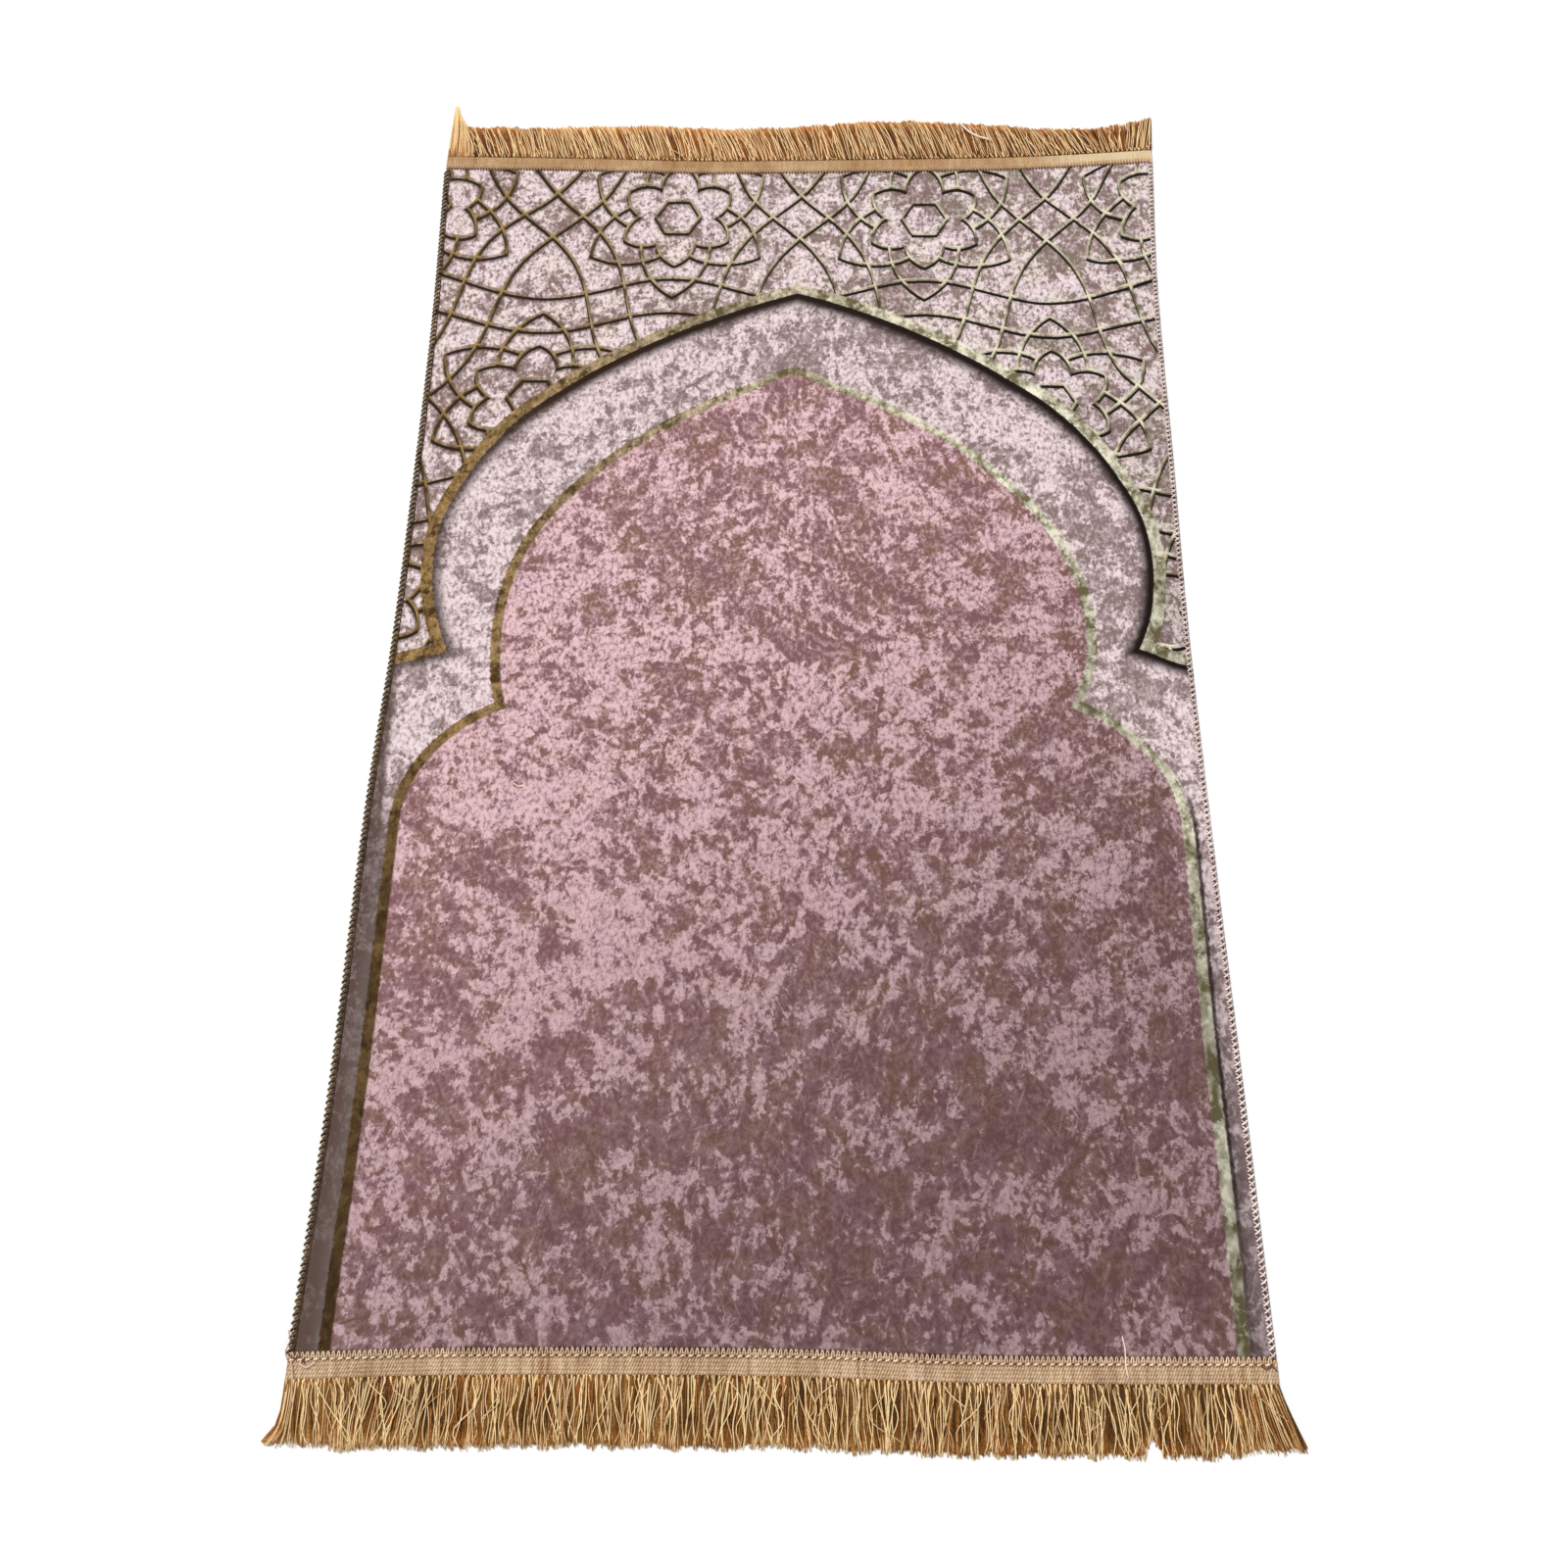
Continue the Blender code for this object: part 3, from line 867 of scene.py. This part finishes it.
# The lowest layer's thick threads close the ground under the others: 2.16 mm to their 0.95 mm.
# Their dark tone is a painted shade in the depth of the fringe, between the threads above.
UNDER_WIDTH = 2.16 / 0.95
FRINGE_LAYERS = (
    ("under", UNDER_WIDTH, 0.25, 0.0004, 0.12, 0.08, 0.0006, 0.006, 0, 0.0003, 0.0026, 0.0005, 0, 0.4),
    ("body", 1, 0.3, 0.0012, 0.31, 0.31, 0.003, 0.0065, 0.55, 0.0012, -0.0004, 0.0008, 0.04, 0.5),
    ("top", 0.9, 0.35, 0.0024, 1, 0.2, 0.005, 0.0065, 0.6, 0.0021, 0, 0.0014, 0.05, 0.12),
    ("crossing", 0.8, 0.3, 0.0032, 0.95, 0.1, 0.014, 0.03, 0, 0.0045, 0.012, 0.008, 0.2, 0),
)
# Where an end's layers differ from these, in the same order: the far threads lie straighter.
LAYER_CHANGES = {
    "near": ({}, {}, {}, {}),
    "far": (
        {"tone": 0.14, "short": 0.0022},
        {"tone": 0.34, "tone_spread": 0.36, "drift": 0.0025, "curl": 0.0007, "lit": 0.4},
        {"tone": 1.15, "drift": 0.0025, "curl": 0.0009, "lit": 0},
        {"drift": 0.005, "curl": 0.0015},
    ),
}
FRINGE_LOOKS = {
    "near": ("rayon fringe thread, old gold", "#482A0A", "#A57134", "#B06D2E", "#FFE2AC"),
    "far": ("rayon fringe thread, amber", "#582A04", "#B27435", "#B86A27", "#FFE0AA"),
}
UNDER_STATIONS = 5
THREAD_STATIONS = 11
TUFT_PLACE = CLOTH_MIDDLE.x - 0.3475
TUFT_HALF = 0.014
# A few of the near threads are cut short.
NOTCH_PLACE = CLOTH_MIDDLE.x + 0.2585
NOTCH_DEPTH = 0.005
# How far a thread may drift past the CAD fringe's side.
SIDE_REACH = {"near": 0.0035, "far": 0.003}


def thread_drift(end, x, left, right):
    """How far sideways a thread's tip lies from its root.

    The near threads fan out at both corners. The far ones lean to the left, less so close to the
    left corner, and turn to the right at the right one.
    """
    if end == "near":
        right_fan = 0.0175 * smooth_step(0.045, 0, right - x) ** 1.2
        left_fan = 0.018 * smooth_step(0.012, 0, x - left)
        return right_fan - left_fan + 0.004 * smooth_step(0.05, 0.02, x - left) + 0.002 * np.sin(31 * x)
    settled = smooth_step(0, 0.05, x - left) * 0.75 + 0.25
    return -0.0145 * settled * (1 - 1.45 * smooth_step(0.06, 0, right - x)) + 0.002 * np.sin(43 * x)


def fringe_layer(rng, end, layer, thread, stations):
    """One layer of fringe threads: their paths, radii and tones."""
    count = getattr(settings("trim"), layer.name + "_threads")
    near = end == "near"
    outward = ENDS[end]
    _, outer = trim_lines(end)
    tips = tip_line(end)
    left, right = outer[0, 0] + 0.0008, outer[-1, 0] - 0.0008
    along = np.linspace(0, 1, stations)[None, :]
    hidden = rng.uniform(0, layer.hidden, (2, count, 1))
    s = hidden[0] + (1 - hidden[0] - hidden[1] * 0.8) * along
    x = np.linspace(left, right, count) + rng.uniform(-0.6, 0.6, count) * (right - left) / count
    x = np.clip(x, left, right)
    at_side = np.maximum(smooth_step(0.03, 0, x - left), smooth_step(0.03, 0, right - x))

    # Each thread's tip: drifted, gathered with its neighbours, and cut a little short.
    drift = thread_drift(end, x, left, right)
    drift = drift + rng.normal(0, layer.drift, count) * (1 - 0.75 * at_side)
    clumps = np.arange(left - 0.02, right + 0.02, layer.gather)
    clumps = clumps + rng.uniform(-0.35, 0.35, len(clumps)) * layer.gather
    nearest = clumps[np.argmin(np.abs((x + drift)[:, None] - clumps[None, :]), axis=1)]
    drift = drift + (nearest - x - drift) * rng.uniform(0.3, 1, count) * layer.pull * (1 - at_side)
    over = SIDE_REACH[end]
    drift = np.clip(x + drift, tips[0, 0] - over * 0.8, tips[-1, 0] - 0.0006 + over) - x
    short = np.maximum(layer.short + rng.normal(0, layer.short_spread, count), -0.001)
    if near:
        short = short + NOTCH_DEPTH * smooth_step(0.008, 0.003, np.abs(x + drift - NOTCH_PLACE))
    tip_y = along_line(tips, x + drift) - outward * short
    bend = 1.2 + 3.5 * smooth_step(0.014, 0.004, x - left)
    if not near:
        tuft = smooth_step(TUFT_HALF, 0.4 * TUFT_HALF, np.abs(x + drift - TUFT_PLACE))
        drift = drift + (TUFT_PLACE - x - drift) * 0.75 * tuft
        bend = 1.1 + 2 * tuft
        tip_y = tip_y + 0.008 * tuft * (np.abs(x + drift - TUFT_PLACE) < 0.002)

    # Its way there.
    start = along_line(outer, x) - outward * 0.0015
    turn = rng.uniform(0, 2 * np.pi, (count, 1))
    waves = rng.uniform(4, 10, (count, 1))
    loose = layer.curl * (1 - 0.85 * at_side[:, None])
    curl = rng.normal(0, 1, (count, 1)) * loose * (np.sin(waves * s + turn) - np.sin(turn)) * s**0.4
    path_x = x[:, None] + drift[:, None] * s ** bend[:, None] + curl
    path_y = start[:, None] + (tip_y - start)[:, None] * s
    lift = layer.height * rng.uniform(0.6, 1.25, (count, 1))
    path_z = 0.0008 + lift * np.sin(np.pi * np.clip(along * 0.88 + 0.1, 0, 1)) ** 0.7
    radii = thread / 2 * layer.width * rng.uniform(0.75, 1.2, (count, 1)) * (1 - layer.taper * along**3)
    tones = layer.tone + rng.normal(0, layer.tone_spread, (count, 1))
    tones = tones + layer.lit * smooth_step(0.7, 1, s)
    inward = x[:, None] - left
    if near:
        tones = tones + 0.14 * smooth_step(0.07, 0.04, inward) - 0.08 * smooth_step(0.3, 0.5, inward)
    else:
        tones = tones - 0.2 * smooth_step(0.02, 0.03, inward) * smooth_step(0.075, 0.055, inward)
        tones = tones + 0.45 * tuft[:, None] + 0.06 - 0.16 * smooth_step(0.3, 0.5, inward)
    return np.stack([path_x, path_y, path_z], axis=-1), radii, tones


def bundle_heads(rng, end, pitch, stations):
    """The pale twisted bundles where the threads leave the tape."""
    outward = ENDS[end]
    _, outer = trim_lines(end)
    x = np.arange(outer[0, 0] + 0.002, outer[-1, 0] - 0.001, pitch)
    x = x + rng.normal(0, 0.0006, len(x))
    s = np.linspace(0, 1, stations)[None, :]
    length = rng.uniform(0.004, 0.01, len(x))
    lean = rng.normal(0 if end == "near" else -0.003, 0.0012, len(x))
    lean = lean * smooth_step(0, 0.012, x - outer[0, 0])
    path_x = x[:, None] + lean[:, None] * s
    path_y = along_line(outer, x)[:, None] + outward * (length[:, None] * s - 0.0012)
    path_z = 0.0022 - 0.0006 * s + 0 * path_x
    radii = 0.0009 * (1 - 0.75 * s**1.5) * rng.uniform(0.7, 1.3, (len(x), 1))
    tones = 0.85 + rng.normal(0, 0.12, (len(x), 1)) - 0.3 * s**2
    return np.stack([path_x, path_y, path_z], axis=-1), radii, tones


class RUG_OT_fringes(bpy.types.Operator):
    """Hang the fringe threads from both tapes, layer on layer"""

    bl_idname = "rug.fringes"
    bl_label = "Fringes"

    def execute(self, context):
        trim = settings("trim")
        for number, end in enumerate(ENDS):
            rng = np.random.default_rng(40 + number)
            material = thread_material(*FRINGE_LOOKS[end])
            rows = zip(FRINGE_LAYERS, LAYER_CHANGES[end])
            under, *upper = (ThreadLayer(*row)._replace(**changes) for row, changes in rows)
            beneath = [fringe_layer(rng, end, under, trim.thread, UNDER_STATIONS)]
            above = [fringe_layer(rng, end, layer, trim.thread, THREAD_STATIONS) for layer in upper]
            above.append(bundle_heads(rng, end, trim.bundle_pitch, THREAD_STATIONS))
            for name, parts in (("under_", beneath), ("threads_", above)):
                make_threads(name + end, parts, material, "fringe", "fringe_" + end)
        return {"FINISHED"}


# The seams' stitches. Each is three rows: its points' x, y and z in millimetres. y runs outwards
# along the rug from the join, and z is the height over the floor.
SEAM_LOOP = (
    (-1.1, -0.9, -0.6, 0, 0.6, 0.9, 1.1),
    (3.2, 1.2, -0.7, -1.6, -0.7, 1.2, 3.2),
    (1.9, 2.6, 3.1, 3.3, 3.1, 2.6, 1.9),
)
SEAM_KNOT = (
    (-1.5, -1, -0.5, 0, 0.5, 1, 1.5),
    (3.9, 3.8, 3.6, 3.5, 3.4, 3.2, 3.1),
    (2.1, 2.8, 3.2, 3.3, 3.2, 2.8, 2.1),
)
# A dark thread laid in each hole of the bright stitch row, as its painted shade.
SEAM_HOLE_SHADE = (
    (-0.9, -0.6, -0.3, 0, 0.3, 0.6, 0.9),
    (3.4, 3.4, 3.4, 3.4, 3.4, 3.4, 3.4),
    (2, 2.3, 2.5, 2.6, 2.5, 2.3, 2),
)
# A dark thread laid in each hole between the seam loops, as its painted shade.
LOOP_HOLE_SHADE = (
    (0, 0, 0, 0, 0, 0, 0),
    (-2.4, -1.9, -1.4, -0.9, -0.4, 0.1, 0.6),
    (2.2, 2.5, 2.7, 2.7, 2.7, 2.5, 2.2),
)
FAR_LOOP = (
    (-1.2, -1.1, -0.8, 0, 0.8, 1.1, 1.2),
    (6.2, 4.4, 1.6, -0.2, 1.6, 4.4, 6.2),
    (1.9, 2.2, 2.3, 2.5, 2.3, 2.2, 1.9),
)
FAR_TICK = (
    (0.3, 0.2, 0.1, 0, -0.1, -0.2, -0.3),
    (-2.2, -1.4, -0.6, 0.2, 1, 1.8, 2.6),
    (2.2, 2.4, 2.6, 2.6, 2.5, 2.4, 2.2),
)
SEAM_LOOKS = {
    "near": ("spun polyester thread, lockstitched, cream", "#2E1A10", "#C09070", "#BC8466", "#FFE6C6"),
    "far": ("spun polyester thread, lockstitched, tan", "#3A2414", "#A9835F", "#AC805E", "#E2C09A"),
}
# Each row of stitches: its shape, the setting for its pitch, whether it starts half a pitch along,
# its radius in millimetres and its tone.
SEAM_ROWS = {
    "near": (
        (SEAM_LOOP, "loop_pitch", False, 0.45, 0.82),
        (LOOP_HOLE_SHADE, "loop_pitch", True, 0.45, 0.12),
        (SEAM_KNOT, "knot_pitch", False, 0.62, 0.95),
        (SEAM_HOLE_SHADE, "knot_pitch", True, 0.55, 0.12),
    ),
    "far": ((FAR_LOOP, "tick_pitch", True, 0.5, 0.7), (FAR_TICK, "tick_pitch", False, 0.45, 0.1)),
}
SEAM_INSET = 0.003


def stitch_row(shape, x, y, side, radii, tones):
    """The same stitch at each place, turned to its side: its paths, radii and tones."""
    stitch = np.transpose(shape) * MM * (*side, 1)
    paths = stitch + np.stack([x, y, np.zeros(len(x))], axis=-1)[:, None]
    stations = np.ones(len(stitch))
    return paths, np.outer(radii, stations), np.outer(tones, stations)


class RUG_OT_seams(bpy.types.Operator):
    """Sew the tapes to the cloth with a row of loops and a row of bright stitches"""

    bl_idname = "rug.seams"
    bl_label = "Seams"

    def execute(self, context):
        trim = settings("trim")
        for number, (end, outward) in enumerate(ENDS.items()):
            rng = np.random.default_rng(60 + number)
            inner, _ = trim_lines(end)
            left, right = inner[0, 0] + SEAM_INSET, inner[-1, 0] - SEAM_INSET
            parts = []
            for shape, setting, halfway, radius, tone in SEAM_ROWS[end]:
                pitch = getattr(trim, setting)
                x = np.arange(left, right, pitch) + halfway * pitch / 2
                radii = radius * MM * rng.uniform(0.85, 1.15, len(x))
                tones = rng.normal(tone, 0.06, len(x))
                parts.append(stitch_row(shape, x, along_line(inner, x), (1, outward), radii, tones))
            make_threads("seam_" + end, parts, thread_material(*SEAM_LOOKS[end]), "fringe", sides=6)
        return {"FINISHED"}


# The overlock's stitches. x runs outwards from the cloth's edge.
LEFT_STITCH = (
    (-3.6, -2.6, -1.5, -0.4, 0.6, 1.2, 0.9),
    (1.9, 1.3, 0.6, -0.1, -0.8, -1.3, -1.7),
    (2.2, 2.9, 2.8, 2.4, 1.7, 1, 0.9),
)
LEFT_LIGHT = (
    (-1.8, -1.2, -0.5, 0, 0.4, 0.7, 0.5),
    (-1.2, -1.6, -2.1, -2.4, -2.7, -2.9, -3.1),
    (2.2, 2.3, 2, 1.7, 1.3, 0.9, 0.7),
)
LEFT_CHAIN = (
    (-3.8, -4, -4, -4, -3.9, -3.8, -3.6),
    (-2.2, -1.5, -0.7, 0.1, 0.9, 1.5, 2.1),
    (2.3, 2.8, 2.9, 2.9, 2.8, 2.6, 2.3),
)
RIGHT_STITCH = (
    (-4.7, -3.9, -2.9, -1.9, -1.1, -0.6, -0.9),
    (-1.9, -1.5, -0.8, 0, 0.8, 1.4, 1.7),
    (2.2, 3, 3.1, 2.9, 2.3, 1.5, 0.8),
)
RIGHT_CROSS = (
    (-4.6, -4, -3.2, -2.4, -1.6, -1.1, -1),
    (1.6, 1, 0.3, -0.4, -1.1, -1.6, -1.9),
    (2.1, 2.7, 2.9, 2.8, 2.3, 1.7, 1),
)
OVERLOCK_DOT = (
    (-2.6, -2.5, -2.4, -2.4, -2.3, -2.3, -2.2),
    (1.6, 1.9, 2.2, 2.5, 2.8, 3, 3.2),
    (2.1, 2.4, 2.5, 2.5, 2.5, 2.4, 2.1),
)
OVERLOCK_LOOKS = {
    "left": ("spun polyester thread, overlocked, umber", "#2C1F14", "#6E5A42", "#7A5E40", "#E2D2AE"),
    "right": ("spun polyester thread, overlocked, cream", "#4A332C", "#C0A096", "#B8928C", "#FFF3EC"),
}
# Each row of stitches: its shape, its radius in millimetres and its tone.
OVERLOCK_ROWS = {
    "left": ((LEFT_STITCH, 0.95, 0.3), (LEFT_LIGHT, 0.4, 0.9), (LEFT_CHAIN, 0.5, 0.15)),
    "right": ((RIGHT_STITCH, 0.65, 0.9), (RIGHT_CROSS, 0.55, 0.7), (OVERLOCK_DOT, 0.55, 0.05)),
}


class RUG_OT_overlock(bpy.types.Operator):
    """Overlock the two long sides"""

    bl_idname = "rug.overlock"
    bl_label = "Overlocked sides"

    def execute(self, context):
        left, right, _, _ = cloth_lines()
        pitch = settings("trim").overlock_pitch
        for number, (side, line, outward) in enumerate((("left", left, -1), ("right", right, 1))):
            rng = np.random.default_rng(80 + number)
            y = np.arange(CLOTH_LOW.y + SEAM_INSET, CLOTH_HIGH.y - SEAM_INSET, pitch)
            parts = []
            for shape, radius, tone in OVERLOCK_ROWS[side]:
                place = y + rng.normal(0, 0.00015, len(y))
                radii = np.full(len(y), radius * MM)
                tones = rng.normal(tone, 0.08, len(y))
                x = along_line(line, place)
                parts.append(stitch_row(shape, x, place, (outward, 1), radii, tones))
            material = thread_material(*OVERLOCK_LOOKS[side])
            make_threads("overlock_" + side, parts, material, "velvet", sides=6)
        return {"FINISHED"}


# Loose thread ends: the places they pass in millimetres from the middle of the cloth, their height
# over the floor, thickness and tone.
LOOSE_THREADS = (
    (((242.5, -535.5), (244.3, -545), (243.2, -554), (245.2, -564)), 3.3, 1.0, 0.9),
    (((161, 602), (169, 590), (178, 583), (192, 578)), 4.6, 1.9, 1.3),
    (((-226, -112), (-222, -115), (-218, -114), (-216, -117)), 3.6, 0.9, 1.2),
    (((-348, -552), (-345, -560), (-344, -572), (-341, -586)), 3.4, 0.9, 0.6),
    (((-351, -549), (-345, -553), (-341, -551), (-337, -556)), 3.3, 1.0, 0.1),
    (((-337, -550), (-342, -556), (-335, -559), (-330, -555)), 3.5, 0.8, 0.8),
    (((337, -553), (342, -557), (346, -554), (349, -558)), 3.4, 0.8, 0.1),
    (((-352, -534), (-349, -542), (-353, -548), (-349, -555)), 2.6, 0.8, 0.5),
)
LOOSE_LOOKS = ("spun polyester thread, trimmings", "#3A211A", "#C4846A", "#C88C74", "#FFEEDD")
LOOSE_STATIONS = 9


class RUG_OT_loose_threads(bpy.types.Operator):
    """Drop the loose thread ends"""

    bl_idname = "rug.loose_threads"
    bl_label = "Loose threads"

    def execute(self, context):
        parts = []
        each = np.ones((1, LOOSE_STATIONS))
        for places, height, thickness, tone in LOOSE_THREADS:
            places = np.array(places) * MM + (CLOTH_MIDDLE.x, CLOTH_MIDDLE.y)
            share = np.linspace(0, len(places) - 1, LOOSE_STATIONS)
            x, y = (np.interp(share, range(len(places)), places[:, axis]) for axis in (0, 1))
            x[1:-1] = (x[:-2] + 2 * x[1:-1] + x[2:]) / 4
            path = np.stack([x, y, np.full(LOOSE_STATIONS, height * MM)], axis=-1)
            parts.append((path[None], each * thickness * MM / 2, each * tone))
        make_threads("loose_threads", parts, thread_material(*LOOSE_LOOKS), "fringe", sides=6)
        return {"FINISHED"}


# The camera: the photograph's own height, tilt and turn, worked out from the cloth's corners.
FRAME_PIXELS = 1600
FOCAL_PIXELS = 1488.8
OPTICAL_AXIS_X = 843
CAMERA_PLACE = (0.0523, -0.5636)
# Its turns in degrees, in the order they are made: yaw, pitch and roll.
CAMERA_TURNS = ((2.72, "Z"), (22.17, "X"), (-2.64, "Z"))
SENSOR = 36
KEY_PLACE = Vector((-0.9, 1.1, 1.9))
KEY_SPREAD = 22
FLOOR_REACH = 6


class RUG_OT_stage(bpy.types.Operator):
    """Set the floor, the light and the camera"""

    bl_idname = "rug.stage"
    bl_label = "Stage"

    def execute(self, context):
        stage = settings("stage")
        scene = context.scene
        material, shader = new_material("matt painted board")
        feed(shader, {"Base Color": "#F8F8F8", "Roughness": 0.9})
        mesh = bpy.data.meshes.new("floor")
        corners = ((-1, -1), (1, -1), (1, 1), (-1, 1))
        mesh.from_pydata([(x * FLOOR_REACH, y * FLOOR_REACH, 0) for x, y in corners], [], [range(4)])
        mesh.materials.append(material)
        placed("floor", mesh)

        world = bpy.data.worlds.new("soft room")
        world.use_nodes = True
        feed(world.node_tree.nodes["Background"], {"Color": "#FFFFFF", "Strength": stage.sky})
        scene.world = world
        lamp = bpy.data.lights.new("key", "SUN")
        lamp.angle = math.radians(KEY_SPREAD)
        lamp.energy = stage.key
        key = placed("key", lamp)
        key.location = KEY_PLACE
        key.rotation_euler = (-KEY_PLACE).to_track_quat("-Z", "Y").to_euler()

        lens = bpy.data.cameras.new("camera")
        lens.sensor_width = SENSOR
        lens.lens = FOCAL_PIXELS / FRAME_PIXELS * SENSOR
        lens.shift_x = 0.5 - OPTICAL_AXIS_X / FRAME_PIXELS
        place = (CLOTH_MIDDLE.x + CAMERA_PLACE[0], CLOTH_MIDDLE.y + CAMERA_PLACE[1], stage.camera_height)
        stand = Matrix.Translation(place)
        for degrees, axis in CAMERA_TURNS:
            stand = stand @ Matrix.Rotation(math.radians(degrees), 4, axis)
        scene.camera = placed("camera", lens)
        scene.camera.matrix_world = stand
        scene.view_settings.view_transform = "Standard"
        return {"FINISHED"}


class RUG_PT_panel(bpy.types.Panel):
    """The rug's settings, and its pieces in the order they are made"""

    bl_label = "Prayer Rug"
    bl_idname = "RUG_PT_panel"
    bl_space_type = "VIEW_3D"
    bl_region_type = "UI"
    bl_category = "Rug"

    def draw(self, context):
        for name in SETTINGS:
            box = self.layout.box()
            group = settings(name)
            for row in group.bl_rna.properties.keys():
                if row not in ("rna_type", "name"):
                    box.prop(group, row)
        for operator in OPERATORS:
            self.layout.operator(operator.bl_idname)


SETTINGS = {
    "print": RugPrintSettings,
    "colours": RugColourSettings,
    "trim": RugTrimSettings,
    "stage": RugStageSettings,
}
OPERATORS = (
    RUG_OT_velvet,
    RUG_OT_tapes,
    RUG_OT_fringes,
    RUG_OT_seams,
    RUG_OT_overlock,
    RUG_OT_loose_threads,
    RUG_OT_stage,
)


def register():
    for group in SETTINGS.values():
        bpy.utils.register_class(group)
    for name, group in SETTINGS.items():
        setattr(bpy.types.Scene, "rug_" + name, PointerProperty(type=group))
    for operator in OPERATORS:
        bpy.utils.register_class(operator)
    bpy.utils.register_class(RUG_PT_panel)


def unregister():
    bpy.utils.unregister_class(RUG_PT_panel)
    for operator in reversed(OPERATORS):
        bpy.utils.unregister_class(operator)
    for name, group in reversed(SETTINGS.items()):
        delattr(bpy.types.Scene, "rug_" + name)
        bpy.utils.unregister_class(group)


def main():
    register()
    for operator in OPERATORS:
        group, name = operator.bl_idname.split(".")
        getattr(getattr(bpy.ops, group), name)()


if __name__ == "__main__":
    main()
